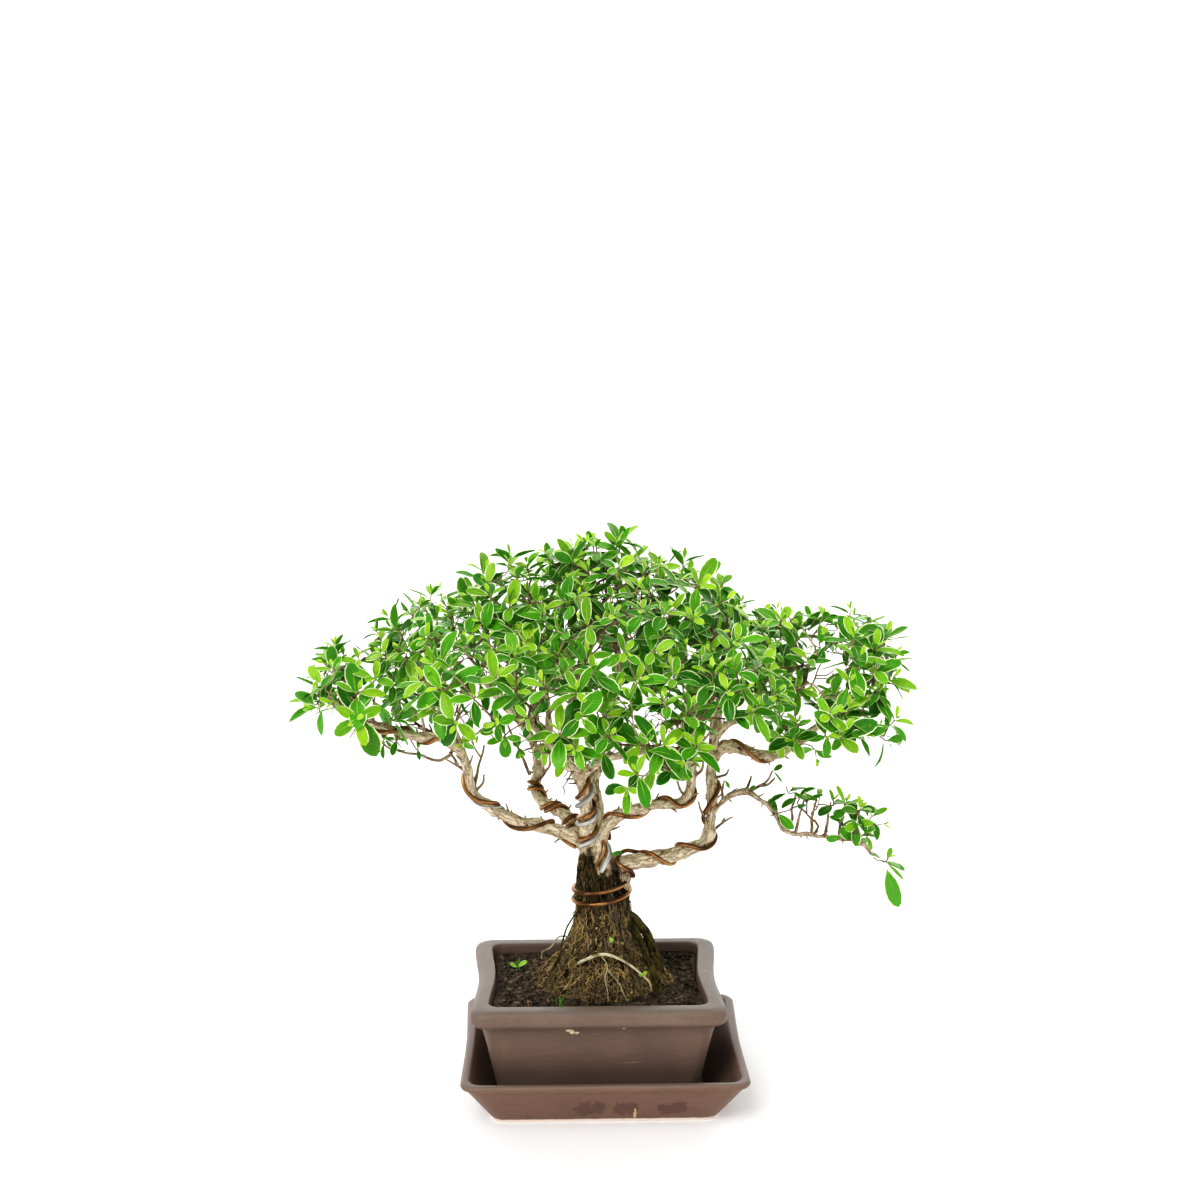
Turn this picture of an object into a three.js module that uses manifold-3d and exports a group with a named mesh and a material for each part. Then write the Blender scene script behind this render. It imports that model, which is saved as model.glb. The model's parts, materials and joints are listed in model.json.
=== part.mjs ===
// A small serissa trained as a bonsai: the wired tree, its soil, a rectangular pot and a drip saucer.
// Millimetres, +Z up. The origin is the middle of the saucer's flat underside, and the front faces -Y.
import * as THREE from 'three';
import { mergeVertices } from 'three/addons/utils/BufferGeometryUtils.js';
import Module from 'manifold-3d';

const wasm = await Module();
wasm.setup();

// ---------------------------------------------------------------- driving dimensions

const FIT = 0.3; // gap between pieces that touch

const SAUCER = {
  width: 180, depth: 141, height: 33, baseWidth: 141, baseDepth: 101, floor: 4, wall: 5.2, waist: 1.5,
};
const POT = {
  width: 160, depth: 125, rimTop: 78, shiftX: -4, rimBand: 11, overhang: 7, taper: 10.5, wall: 6,
  waist: 4, footHeight: 3.5, floor: 5, drainRadius: 6, drainX: 28,
};
const SOIL_BELOW_RIM = 5.8;

// The crown of roots and the trunk: half sizes across X and Y at heights above the ground.
const TRUNK = [
  { z: 48, x: 0, rx: 28, ry: 24, flute: 0 },
  { z: 62, x: 0, rx: 40, ry: 35, flute: 0 },
  { z: 72, x: 0, rx: 46, ry: 40, flute: 0.02 },
  { z: 77, x: 0, rx: 43, ry: 38, flute: 0.06 },
  { z: 85, x: 0.5, rx: 35, ry: 32, flute: 0.1 },
  { z: 94, x: 1, rx: 28, ry: 26, flute: 0.1 },
  { z: 104, x: 1, rx: 22.5, ry: 21.5, flute: 0.08 },
  { z: 116, x: 1, rx: 18.5, ry: 18, flute: 0.05 },
  { z: 132, x: 0, rx: 17, ry: 16.5, flute: 0.03 },
  { z: 146, x: -2, rx: 14.5, ry: 14, flute: 0.03 },
  { z: 157, x: -4.5, rx: 10.5, ry: 11, flute: 0.02 },
  { z: 165, x: -6.5, rx: 6, ry: 6.5, flute: 0 },
];

// Limbs: centre line, radius where it leaves the wood below, radius at its tip.
const LIMBS = {
  leader: {
    radii: [5, 1.9],
    points: [[-5, -1, 152], [-10, -8, 173], [-10.5, -12, 190], [-12, -14, 204], [-16.5, -14, 220],
      [-19.5, -10, 250], [-16, -5, 272], [-10, -1, 298], [-5, 0, 332]],
  },
  crown_left: {
    radii: [2.2, 1.4],
    points: [[-17, -4, 268], [-26, -8, 284], [-38, -12, 298], [-52, -12, 311]],
  },
  crown_right: {
    radii: [2.2, 1.4],
    points: [[-12, -2, 290], [0, 4, 303], [16, 8, 314], [34, 8, 322]],
  },
  rear: {
    radii: [4.4, 1.8],
    points: [[-3, 4, 152], [-2, 10, 170], [-3, 18, 183], [-5, 28, 196], [-1, 42, 213], [7, 58, 236],
      [12, 72, 261], [10, 80, 280]],
  },
  left: {
    radii: [4.4, 2],
    points: [[-6, 0, 158], [-17, -4, 170.5], [-29, -8, 177], [-42, -12, 182.5], [-51, -15, 185],
      [-61, -18, 190.5], [-70, -20, 196], [-77, -21, 202], [-82, -22, 210], [-83.5, -22, 221],
      [-89, -20, 236], [-94, -15, 246], [-97, -8, 262], [-100, -5, 276]],
  },
  left_low: {
    radii: [3.2, 1.6],
    points: [[-88, -20.5, 234], [-101, -22, 242], [-116, -24, 244], [-128, -25, 248], [-142, -25, 253],
      [-156, -24, 261], [-168, -22, 271]],
  },
  left_mid: {
    radii: [4, 1.9],
    points: [[-6, 3, 160], [-19, 9, 177], [-33, 18, 184.5], [-40, 25, 187.5], [-43, 32, 193],
      [-41, 41, 203], [-43, 47, 215], [-52, 50, 231], [-66, 52, 246], [-80, 50, 268]],
  },
  left_rear: {
    radii: [2.8, 1.6],
    points: [[-41, 41, 202], [-35, 56, 215], [-34, 72, 231], [-38, 84, 252]],
  },
  right_mid: {
    radii: [4.2, 1.9],
    points: [[-2, -2, 156], [-1, -6, 172], [2, -9, 180], [9, -13, 188], [18, -16, 192.5], [29, -19, 196.5],
      [38.5, -21, 198], [46, -22, 198.5], [51, -23, 203], [53.5, -23, 211], [54, -21, 226],
      [53.5, -15, 246], [56, -6, 270], [58, 0, 290]],
  },
  right_low: {
    radii: [5, 2.2],
    points: [[4, 3, 136], [11, 0, 147], [17, -4, 153.5], [25, -6, 156], [33, -7, 158.5], [43, -7, 160],
      [53, -6, 163], [62, -4, 165.5], [66.5, -2, 170.5], [67.5, 0, 176.5], [69.5, 4, 189],
      [69.5, 8, 199], [69, 11, 210], [70, 15, 222], [72, 19, 235], [76, 26, 256], [80, 34, 280]],
  },
  right_high: {
    radii: [3.5, 1.7],
    points: [[70, 14, 219], [77, 18, 222.5], [85, 20, 222], [95, 21, 218.5], [105, 21, 216.5],
      [114, 20, 218.5], [123, 17, 225], [133, 13, 235], [144, 9, 246], [156, 5, 258], [169, 1, 273]],
  },
  right_up: {
    radii: [2.8, 1.6],
    points: [[71, 18, 230], [78, 14, 238], [86, 7, 245], [97, 2, 251], [109, -4, 259], [119, -8, 268],
      [126, -9, 281]],
  },
  hanging: {
    radii: [1.9, 1],
    points: [[69, 2, 184], [76, -2, 194], [82, -6, 200], [91, -10, 202], [98, -13, 198], [105, -15, 192],
      [109, -17, 186], [112, -18, 180.5], [118, -19, 177.5], [128, -20, 177], [142, -20, 175],
      [156, -20, 173], [164, -20, 168.5], [168, -20, 163]],
  },
  front_left: {
    radii: [2.8, 1.6],
    points: [[-14.5, -14, 214], [-17, -30, 222], [-23, -47, 232], [-32, -62, 247], [-45, -74, 266]],
  },
  front_right: {
    radii: [2.8, 1.6],
    points: [[-15, -14, 213], [-7, -30, 226], [5, -48, 237], [18, -66, 245], [30, -80, 252]],
  },
  rear_right: {
    radii: [2.6, 1.6],
    points: [[54, -21, 219], [54, 0, 223], [53, 25, 226], [54, 48, 233], [58, 66, 246]],
  },
};

// Other grown parts of the wood: a pale root that springs clear of the root crown and dives back into it, and
// the knuckle below the lowest limb on the right, with the stub of an old cut above it.
const ARCHED_ROOT = {
  radii: [1.6, 1.1],
  points: [[-17, -15, 90], [-14.3, -23, 95.4], [-8.7, -28, 100.1], [-3.7, -30, 102.7],
    [1.3, -30.5, 103], [6.9, -30.5, 101.1], [13.6, -30, 97.4], [20.3, -29.5, 92], [26, -29, 86.6],
    [30, -28, 81], [31, -24, 74.5]],
};
const KNUCKLE = {
  radii: [3.4, 3.9],
  points: [[7, -4, 134], [11.5, -7, 140], [13.2, -8, 147], [13.5, -8, 152]],
};
const STUB = {
  radii: [5.2, 4.5],
  points: [[10.3, -9.5, 154.6], [15, -9, 155.4], [22, -7.4, 156.2], [31, -7, 158]],
};

// Training wire: soft aluminium wound round the limbs. A run winds on one limb through turns, each given as a
// place along the limb and an angle from the front, or it goes through plain points.
const COPPER_WIRE = 1.35;
const STOUT_WIRE = 1.6;
const FINE_WIRE = 0.7;
const WIRES = {
  wire_copper_trunk_right: {
    radius: COPPER_WIRE,
    runs: [
      { on: 'trunk', turns: [[0.68, 150], [0.79, 815]] },
      {
        through: [[19, -9, 147], [17, -15.3, 152.2], [11.8, -16.8, 155.6], [8.4, -12.5, 158.3],
          [10.2, -8.3, 161.3], [14.5, -4.6, 162.3]],
      },
      {
        on: 'right_low',
        turns: [[0.155, 235], [0.178, 270], [0.222, 360], [0.262, 450], [0.28, 540], [0.295, 630],
          [0.35, 720], [0.4, 810], [0.43, 900], [0.464, 990], [0.52, 1080], [0.565, 1170], [0.595, 1260]],
      },
    ],
  },
  wire_copper_left: {
    radius: COPPER_WIRE,
    runs: [{
      on: 'left',
      turns: [[0.085, -45], [0.15, -120], [0.19, -180], [0.225, -270], [0.286, -360], [0.37, -450],
        [0.42, -540], [0.46, -630], [0.53, -720], [0.605, -810], [0.65, -890]],
    }],
  },
  wire_copper_left_far: {
    radius: COPPER_WIRE,
    runs: [{
      on: 'left_low',
      turns: [[0.14, 60], [0.2, 0], [0.28, -90], [0.36, -180], [0.42, -270], [0.5, -360], [0.58, -450],
        [0.62, -520]],
    }],
  },
  wire_copper_mid_left_a: {
    radius: COPPER_WIRE,
    runs: [{
      on: 'left_mid',
      turns: [[0.13, 150], [0.15, 90], [0.178, -90], [0.21, -180], [0.241, -270], [0.306, -450],
        [0.345, -540], [0.38, -630], [0.415, -810], [0.43, -880]],
    }],
  },
  wire_copper_mid_left_b: {
    radius: COPPER_WIRE,
    runs: [{
      on: 'left_mid',
      turns: [[0.11, 140], [0.125, 90], [0.152, -90], [0.183, -180], [0.215, -270], [0.28, -450],
        [0.318, -540], [0.355, -630], [0.39, -810], [0.405, -880]],
    }],
  },
  wire_copper_leader: {
    radius: COPPER_WIRE,
    runs: [{
      on: 'leader',
      turns: [[0.122, 290], [0.137, 360], [0.159, 450], [0.177, 540], [0.196, 630], [0.217, 720], [0.24, 810],
        [0.258, 900], [0.277, 990], [0.307, 1080], [0.338, 1170], [0.358, 1250]],
    }],
  },
  wire_silver_leader: {
    radius: STOUT_WIRE,
    runs: [{
      on: 'leader',
      turns: [[0.105, 300], [0.118, 360], [0.14, 450], [0.157, 540], [0.175, 630], [0.195, 720], [0.216, 810],
        [0.23, 900], [0.245, 990], [0.273, 1080], [0.303, 1170], [0.325, 1250]],
    }],
  },
  wire_copper_mid_right: {
    radius: COPPER_WIRE,
    runs: [{
      on: 'right_mid',
      turns: [[0.085, 90], [0.13, 180], [0.19, 270], [0.243, 360], [0.301, 450], [0.35, 540], [0.4, 630],
        [0.445, 720], [0.496, 810], [0.53, 900], [0.54, 940]],
    }],
  },
  wire_copper_right_high: {
    radius: COPPER_WIRE,
    runs: [{
      on: 'right_high',
      turns: [[0.1, 180], [0.13, 270], [0.21, 360], [0.3, 450], [0.38, 540], [0.44, 630], [0.52, 720],
        [0.58, 800]],
    }],
  },
  wire_silver_left: {
    radius: FINE_WIRE,
    runs: [{
      on: 'left',
      turns: [[0.392, -160], [0.4, -180], [0.432, -270], [0.485, -360], [0.54, -450], [0.55, -490]],
    }],
  },
};

// Leafy sprays leave these limbs at these fractions of their length; 1 is the tip.
const SPRAY_SITES = {
  leader: [0.66, 1],
  crown_left: [1],
  crown_right: [1],
  rear: [0.76, 1],
  left: [1],
  left_low: [1],
  left_mid: [1],
  left_rear: [1],
  right_mid: [0.8, 1],
  right_low: [1],
  right_up: [1],
  right_high: [1],
  front_left: [0.66, 1],
  front_right: [1],
  rear_right: [1],
  hanging: [0.66, 0.82, 1],
};

// The foliage masses: squat ellipsoids that the leaf rosettes lie on.
const FOLIAGE = [
  { centre: [0, 5, 321], half: [46, 50, 44] },
  { centre: [-48, 0, 311], half: [46, 52, 38] },
  { centre: [46, 5, 307], half: [42, 52, 40] },
  { centre: [-100, -5, 291], half: [44, 52, 36] },
  { centre: [-152, -15, 270], half: [38, 42, 28] },
  { centre: [-66, -62, 284], half: [46, 42, 32] },
  { centre: [-22, -78, 278], half: [40, 38, 30] },
  { centre: [22, -86, 258], half: [36, 36, 34] },
  { centre: [62, -66, 280], half: [42, 42, 30] },
  { centre: [0, -46, 308], half: [50, 42, 36] },
  { centre: [96, 0, 282], half: [36, 48, 34] },
  { centre: [148, 0, 284], half: [40, 46, 30] },
  { centre: [136, -32, 252], half: [38, 34, 22] },
  { centre: [-82, 58, 272], half: [52, 42, 36] },
  { centre: [0, 82, 276], half: [52, 36, 38] },
  { centre: [80, 62, 268], half: [50, 42, 36] },
  { centre: [-5, 45, 308], half: [54, 46, 36] },
  { centre: [142, -20, 184], half: [30, 18, 12], spacing: 25 },
];
const ROSETTE_SPACING = 38;
const LEAF = {
  length: [17, 23], width: 0.48, widest: 0.52, thickness: 0.9, neck: 2.2, fold: 0.2, droop: 0.2,
  lowRise: [0.2, 0.45], highRise: [0.6, 0.9], counts: [4, 5, 5], room: 1.04, sector: 0.9,
};
const TWIG = { collar: 1.8, fork: 1.4, tip: 1.2, beyond: 0.5 };
// The rosette at the very tip of the hanging limb, which nods instead of rising.
const NODDING_ROSETTE = { point: [174, -20.5, 156], out: [0.75, -0.15, -0.6], lean: -0.5 };

// ---------------------------------------------------------------- geometry helpers

const vector = ([x, y, z]) => new THREE.Vector3(x, y, z);
const mix = (a, b, t) => a + (b - a) * t;

// A repeatable draw of numbers from 0 to 1.
function seededDraw(seed) {
  let state = seed;
  return () => {
    state = (state + 0x6d2b79f5) | 0;
    let t = Math.imul(state ^ (state >>> 15), 1 | state);
    t = (t + Math.imul(t ^ (t >>> 7), 61 | t)) ^ t;
    return ((t ^ (t >>> 14)) >>> 0) / 4294967296;
  };
}

// A closed three.js geometry as a solid that can be joined and cut, with its faces turned outwards.
function solid(geometry) {
  const bare = geometry.index ? geometry.toNonIndexed() : geometry.clone();
  bare.deleteAttribute('normal');
  bare.deleteAttribute('uv');
  const merged = mergeVertices(bare, 1e-4);
  const corners = merged.index.array;
  const points = merged.attributes.position;
  const [a, b, c] = [new THREE.Vector3(), new THREE.Vector3(), new THREE.Vector3()];
  const faces = [];
  let volume = 0;
  for (let i = 0; i < corners.length; i += 3) {
    const face = [corners[i], corners[i + 1], corners[i + 2]];
    if (new Set(face).size < 3) continue;
    [a, b, c].forEach((corner, k) => corner.fromBufferAttribute(points, face[k]));
    volume += a.dot(b.cross(c));
    faces.push(face);
  }
  const triVerts = new Uint32Array(faces.flatMap((face) => (volume < 0 ? face.reverse() : face)));
  return new wasm.Manifold(new wasm.Mesh({ numProp: 3, vertProperties: points.array, triVerts }));
}

function join(solids) {
  return wasm.Manifold.union(solids);
}

// The main body left by a cut, without the slivers that cutting leaves along its edges.
const SLIVER = 0.05;

function largest(body) {
  const bodies = body.simplify(SLIVER).decompose();
  return bodies.reduce((best, other) => (other.volume() > best.volume() ? other : best));
}

function piece(name, body, material) {
  const { vertProperties, triVerts } = body.getMesh();
  const geometry = new THREE.BufferGeometry();
  geometry.setAttribute('position', new THREE.BufferAttribute(new Float32Array(vertProperties), 3));
  geometry.setIndex(new THREE.BufferAttribute(new Uint32Array(triVerts), 1));
  geometry.computeVertexNormals();
  const made = new THREE.Mesh(geometry, material);
  made.name = name;
  return made;
}

// ---------------------------------------------------------------- pot and saucer

const CORNER_STEPS = 3;
const SHORT_SIDE_STEPS = 6;
const LONG_SIDE_STEPS = 2;

// One place on the outline of a rounded rectangle whose short sides draw in at the middle.
function outlineTags() {
  const tags = [];
  for (let quarter = 0; quarter < 4; quarter++) {
    for (let step = 0; step <= CORNER_STEPS; step++) {
      tags.push({ quarter, angle: ((quarter + step / CORNER_STEPS) * Math.PI) / 2, along: 0 });
    }
    const sideSteps = quarter % 2 === 0 ? LONG_SIDE_STEPS : SHORT_SIDE_STEPS;
    for (let step = 1; step < sideSteps; step++) tags.push({ quarter, along: step / sideSteps });
  }
  return tags;
}

const OUTLINE = outlineTags();
const QUARTER_SIGNS = [[1, 1], [-1, 1], [-1, -1], [1, -1]];

function cornerPoint(ring, quarter, angle) {
  const radius = Math.min(ring.corner, ring.x, ring.y);
  const [signX, signY] = QUARTER_SIGNS[quarter];
  return [
    signX * (ring.x - radius) + radius * Math.cos(angle),
    signY * (ring.y - radius) + radius * Math.sin(angle),
  ];
}

function outlinePoint(ring, tag) {
  let [x, y] = cornerPoint(ring, tag.quarter, tag.angle ?? 0);
  if (tag.along > 0) {
    const turn = ((tag.quarter + 1) * Math.PI) / 2;
    const from = cornerPoint(ring, tag.quarter, turn);
    const to = cornerPoint(ring, (tag.quarter + 1) % 4, turn);
    x = mix(from[0], to[0], tag.along);
    y = mix(from[1], to[1], tag.along);
  }
  const offMiddle = ring.y > 0 ? y / ring.y : 0;
  const waist = (ring.waist * (1 + Math.cos(Math.PI * offMiddle))) / 2;
  return [x - Math.sign(x) * waist, y];
}

// A body turned on a lathe, with each of its rings drawn out to that outline.
function rectangularBody(rings) {
  const profile = rings.map((_, level) => new THREE.Vector2(1, level));
  const body = new THREE.LatheGeometry(profile, OUTLINE.length);
  const place = body.attributes.position;
  for (let side = 0; side <= OUTLINE.length; side++) {
    rings.forEach((ring, level) => {
      const [x, y] = outlinePoint(ring, OUTLINE[side % OUTLINE.length]);
      place.setXYZ(side * rings.length + level, x, y, ring.z);
    });
  }
  return solid(body);
}

const ring = (x, y, z, corner, waist) => ({ x, y, z, corner, waist });
const centre = (z) => ring(0, 0, z, 0, 0);

function saucerBody() {
  const { width, depth, height, baseWidth, baseDepth, floor, wall, waist } = SAUCER;
  const [rimX, rimY, baseX, baseY] = [width / 2, depth / 2, baseWidth / 2, baseDepth / 2];
  return rectangularBody([
    centre(0),
    ring(baseX, baseY, 0, 9, waist / 2),
    ring(baseX + 0.8, baseY + 0.8, 1.6, 9, waist / 2),
    ring(rimX - 3.5, rimY - 3.5, height - 6, 9, waist),
    ring(rimX - 2.8, rimY - 2.8, height - 4.6, 9, waist),
    ring(rimX - 0.4, rimY - 0.4, height - 3.6, 10, waist),
    ring(rimX, rimY, height - 1.7, 10, waist),
    ring(rimX - 1.5, rimY - 1.5, height, 10, waist),
    ring(rimX - wall, rimY - wall, height - 0.3, 8, waist),
    ring(rimX - wall - 1.4, rimY - wall - 1.4, height - 2, 7, waist),
    ring(baseX - wall + 0.6, baseY - wall + 0.6, floor + 1.2, 5, waist / 2),
    ring(baseX - wall - 1.4, baseY - wall - 1.4, floor, 4, waist / 2),
    centre(floor),
  ]);
}

const POT_LIFT = SAUCER.floor + FIT;
const POT_HEIGHT = POT.rimTop - POT_LIFT;
const POT_BODY_X = POT.width / 2 - POT.overhang;
const POT_BODY_Y = POT.depth / 2 - POT.overhang;
const POT_FLOOR_TOP = POT.footHeight + POT.floor;

// The inside of the pot at a height above its feet, drawn in by an allowance.
function potInside(z, allowance) {
  const t = (z - POT_FLOOR_TOP) / (POT_HEIGHT - 1.4 - POT_FLOOR_TOP);
  const x = mix(POT_BODY_X - POT.taper - 4, POT_BODY_X - POT.wall + 0.8, t) - allowance;
  const y = mix(POT_BODY_Y - POT.taper - 4, POT_BODY_Y - POT.wall + 0.8, t) - allowance;
  return ring(x, y, z, mix(6, 7, t), POT.waist * mix(0.56, 0.74, t));
}

function potBody() {
  const [rimX, rimY] = [POT.width / 2, POT.depth / 2];
  const bandFoot = POT_HEIGHT - POT.rimBand;
  const [footX, footY] = [POT_BODY_X - POT.taper, POT_BODY_Y - POT.taper];
  const { waist } = POT;
  const shell = rectangularBody([
    centre(POT.footHeight),
    ring(footX - 5, footY - 5, POT.footHeight, 5, waist * 0.2),
    ring(footX - 1.5, footY - 1.5, POT.footHeight + 2.2, 7, waist * 0.35),
    ring(footX, footY, POT.footHeight + 5.5, 8, waist * 0.4),
    ring(POT_BODY_X, POT_BODY_Y, bandFoot - 1, 9, waist * 0.8),
    ring(rimX - 1.8, rimY - 1.8, bandFoot, 10, waist),
    ring(rimX, rimY, bandFoot + 2.4, 10, waist),
    ring(rimX, rimY, POT_HEIGHT - 4.4, 10, waist),
    ring(rimX - 1.5, rimY - 1.5, POT_HEIGHT - 1.3, 9.5, waist),
    ring(rimX - 4.6, rimY - 4.6, POT_HEIGHT, 9, waist),
    ring(rimX - 11, rimY - 11, POT_HEIGHT, 7.5, waist * 0.85),
    potInside(POT_HEIGHT - 1.4, 0),
    potInside(POT_FLOOR_TOP + 2, 0),
    { ...potInside(POT_FLOOR_TOP + 2, 3), z: POT_FLOOR_TOP },
    centre(POT_FLOOR_TOP),
  ]);
  const foot = new THREE.BoxGeometry(20, 15, POT.footHeight + 2);
  const feet = QUARTER_SIGNS.map(([signX, signY]) => {
    const at = [signX * (footX - 17), signY * (footY - 14), (POT.footHeight + 2) / 2];
    return solid(foot.clone().translate(...at));
  });
  const drill = new THREE.CylinderGeometry(POT.drainRadius, POT.drainRadius, 4 * POT.floor, 12);
  drill.rotateX(Math.PI / 2).translate(0, 0, POT.footHeight);
  const holes = [-POT.drainX, POT.drainX].map((x) => solid(drill.clone().translate(x, 0, 0)));
  return largest(join([shell, ...feet]).subtract(join(holes)));
}

// The soil fills the pot, with a plain hole where the crown of roots stands in it.
function soilBody(rootHole) {
  const surface = POT_HEIGHT - SOIL_BELOW_RIM;
  const middle = potInside(surface, 12);
  const block = rectangularBody([
    centre(POT_FLOOR_TOP + FIT),
    { ...potInside(POT_FLOOR_TOP + 2, 4), z: POT_FLOOR_TOP + FIT },
    potInside(POT_FLOOR_TOP + 3, FIT + 0.15),
    potInside(surface - 0.8, FIT + 0.15),
    { ...middle, z: surface + 0.2 },
    centre(surface + 1.2),
  ]);
  return largest(block.subtract(rootHole.translate([-POT.shiftX, 0, -POT_LIFT])));
}

// ---------------------------------------------------------------- wood

const TRUNK_SIDES = 20;

// The trunk and the crown of roots, fluted where the roots spread. The cutter for its hole is grown all
// round.
function trunkBody(grown) {
  const levels = [{ ...TRUNK[0], rx: 0, ry: 0 }, ...TRUNK, { ...TRUNK.at(-1), rx: 0, ry: 0 }];
  const body = new THREE.LatheGeometry(levels.map((_, level) => new THREE.Vector2(1, level)), TRUNK_SIDES);
  const place = body.attributes.position;
  for (let side = 0; side <= TRUNK_SIDES; side++) {
    const angle = ((side % TRUNK_SIDES) / TRUNK_SIDES) * 2 * Math.PI;
    const broad = 0.5 * Math.cos(5 * angle + 1) + 0.35 * Math.cos(8 * angle + 2.4);
    const ridge = broad + 0.15 * Math.cos(11 * angle);
    levels.forEach((level, k) => {
      const swell = level.rx > 0 ? 1 + level.flute * ridge : 0;
      const spread = level.rx > 0 ? grown : 0;
      const deeper = k === 0 || k === 1 ? grown : 0;
      place.setXYZ(
        side * levels.length + k,
        level.x + Math.cos(angle) * (level.rx * swell + spread),
        Math.sin(angle) * (level.ry * swell + spread),
        level.z - deeper,
      );
    });
  }
  return solid(body);
}

const curveOf = (points) => new THREE.CatmullRomCurve3(points.map(vector));
const CURVES = Object.fromEntries(
  Object.entries(LIMBS).map(([name, limb]) => [name, curveOf(limb.points)]),
);
const LIMB_SIDES = 5;
const LIMB_STEP = 15;
const THREAD = 0.5;

function polygon(radius, sides) {
  const corners = Array.from({ length: sides }, (_, k) => {
    const angle = (k / sides) * 2 * Math.PI;
    return new THREE.Vector2(radius * Math.cos(angle), radius * Math.sin(angle));
  });
  return new THREE.Shape(corners);
}

// A tapered limb: a thin thread drawn along the curve, then swelled to the limb's radius at each step.
function limbBody(curve, [rootRadius, tipRadius], grown) {
  const steps = Math.ceil(curve.getLength() / LIMB_STEP);
  const thread = new THREE.ExtrudeGeometry(polygon(THREAD, LIMB_SIDES), { steps, extrudePath: curve });
  const stations = curve.getSpacedPoints(steps);
  const place = thread.attributes.position;
  const point = new THREE.Vector3();
  for (let i = 0; i < place.count; i++) {
    point.fromBufferAttribute(place, i);
    const distances = stations.map((station) => station.distanceTo(point));
    const nearest = distances.indexOf(Math.min(...distances));
    const radius = mix(rootRadius, tipRadius, nearest / steps) + grown;
    point.sub(stations[nearest]).multiplyScalar(radius / THREAD).add(stations[nearest]);
    place.setXYZ(i, point.x, point.y, point.z);
  }
  return solid(thread);
}

function woodBody(grown) {
  const limbs = Object.entries(LIMBS).map(([name, limb]) => limbBody(CURVES[name], limb.radii, grown));
  const others = [ARCHED_ROOT, KNUCKLE, STUB].map(({ points, radii }) => (
    limbBody(curveOf(points), radii, grown)
  ));
  return join([trunkBody(grown), ...others, ...limbs]);
}

// ---------------------------------------------------------------- training wire

const WIRE_SIDES = 4;
const POINTS_PER_TURN = { trunk: 12, limb: 7 };
const FRONT = new THREE.Vector3(0, -1, 0);
const TRUNK_CURVE = curveOf(TRUNK.map(({ x, z }) => [x, 0, z]));

function limbRadius(on, at) {
  if (on !== 'trunk') return mix(...LIMBS[on].radii, at);
  const z = TRUNK_CURVE.getPointAt(at).z;
  const above = TRUNK.findIndex((level) => level.z >= z);
  const [low, high] = [TRUNK[above - 1], TRUNK[above]];
  return mix(low.rx, high.rx, (z - low.z) / (high.z - low.z)) * (1 + low.flute / 2);
}

// How far along its limb a run has come, and the angle it has turned to, after a share of all its turning.
function placeInTurns(turns, share) {
  const [first, last] = [turns[0][1], turns.at(-1)[1]];
  const angle = mix(first, last, share);
  const sign = Math.sign(last - first);
  const next = Math.max(1, turns.findIndex(([, other]) => (other - angle) * sign >= 0));
  const [[from, start], [to, end]] = [turns[next - 1], turns[next]];
  return [mix(from, to, (angle - start) / (end - start)), angle];
}

// Points along one run of wire, with the angle measured from the front. They stand off far enough for the
// straight lengths between them to clear the bark.
function windingPoints({ on, turns, through }, radius) {
  if (through) return through.map(vector);
  const curve = on === 'trunk' ? TRUNK_CURVE : CURVES[on];
  const perTurn = on === 'trunk' ? POINTS_PER_TURN.trunk : POINTS_PER_TURN.limb;
  const count = Math.round((Math.abs(turns.at(-1)[1] - turns[0][1]) / 360) * perTurn);
  return Array.from({ length: count + 1 }, (_, k) => {
    const [at, degrees] = placeInTurns(turns, k / count);
    const along = curve.getTangentAt(at);
    const front = FRONT.clone().addScaledVector(along, -FRONT.dot(along)).normalize();
    const side = along.clone().cross(front);
    const angle = (degrees * Math.PI) / 180;
    const out = front.multiplyScalar(Math.cos(angle)).addScaledVector(side, Math.sin(angle));
    const standOff = (limbRadius(on, at) + radius + 2 * FIT) / Math.cos(Math.PI / perTurn);
    return curve.getPointAt(at).addScaledVector(out, standOff);
  });
}

function wireBody({ radius, runs }) {
  const points = runs.flatMap((run) => windingPoints(run, radius));
  const path = new THREE.CatmullRomCurve3(points);
  const section = polygon(radius, WIRE_SIDES);
  return solid(new THREE.ExtrudeGeometry(section, { steps: points.length, extrudePath: path }));
}

// ---------------------------------------------------------------- foliage

const GOLDEN_ANGLE = Math.PI * (3 - Math.sqrt(5));
const LOWEST_ON_MASS = -0.45; // rosettes stop this far below a mass's middle, as a share of its half height
const BURIED = 0.82; // nearer than this to the middle of another mass, a rosette is left out
const CROWDED = 0.8; // so is one nearer than this share of the spacing to its neighbour
const AREA_POWER = 1.6; // in the usual estimate of an ellipsoid's surface
const OUTWARD = 0.6; // how far rosettes turn away from the middle of their mass
const UPWARD = 0.5; // and how far they turn up
const TIP_SITE = 0.985; // a spray at a limb's tip starts this far along it
const FORK_PLACES = [0.3, 0.55, 0.8]; // where a twig may fork, along its length
const DETOUR = 0.4; // the cost of the way already travelled, beside the straight way still to go

function depthInMass(point, { centre: middle, half }) {
  return Math.hypot(...[0, 1, 2].map((k) => (point.getComponent(k) - middle[k]) / half[k]));
}

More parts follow.
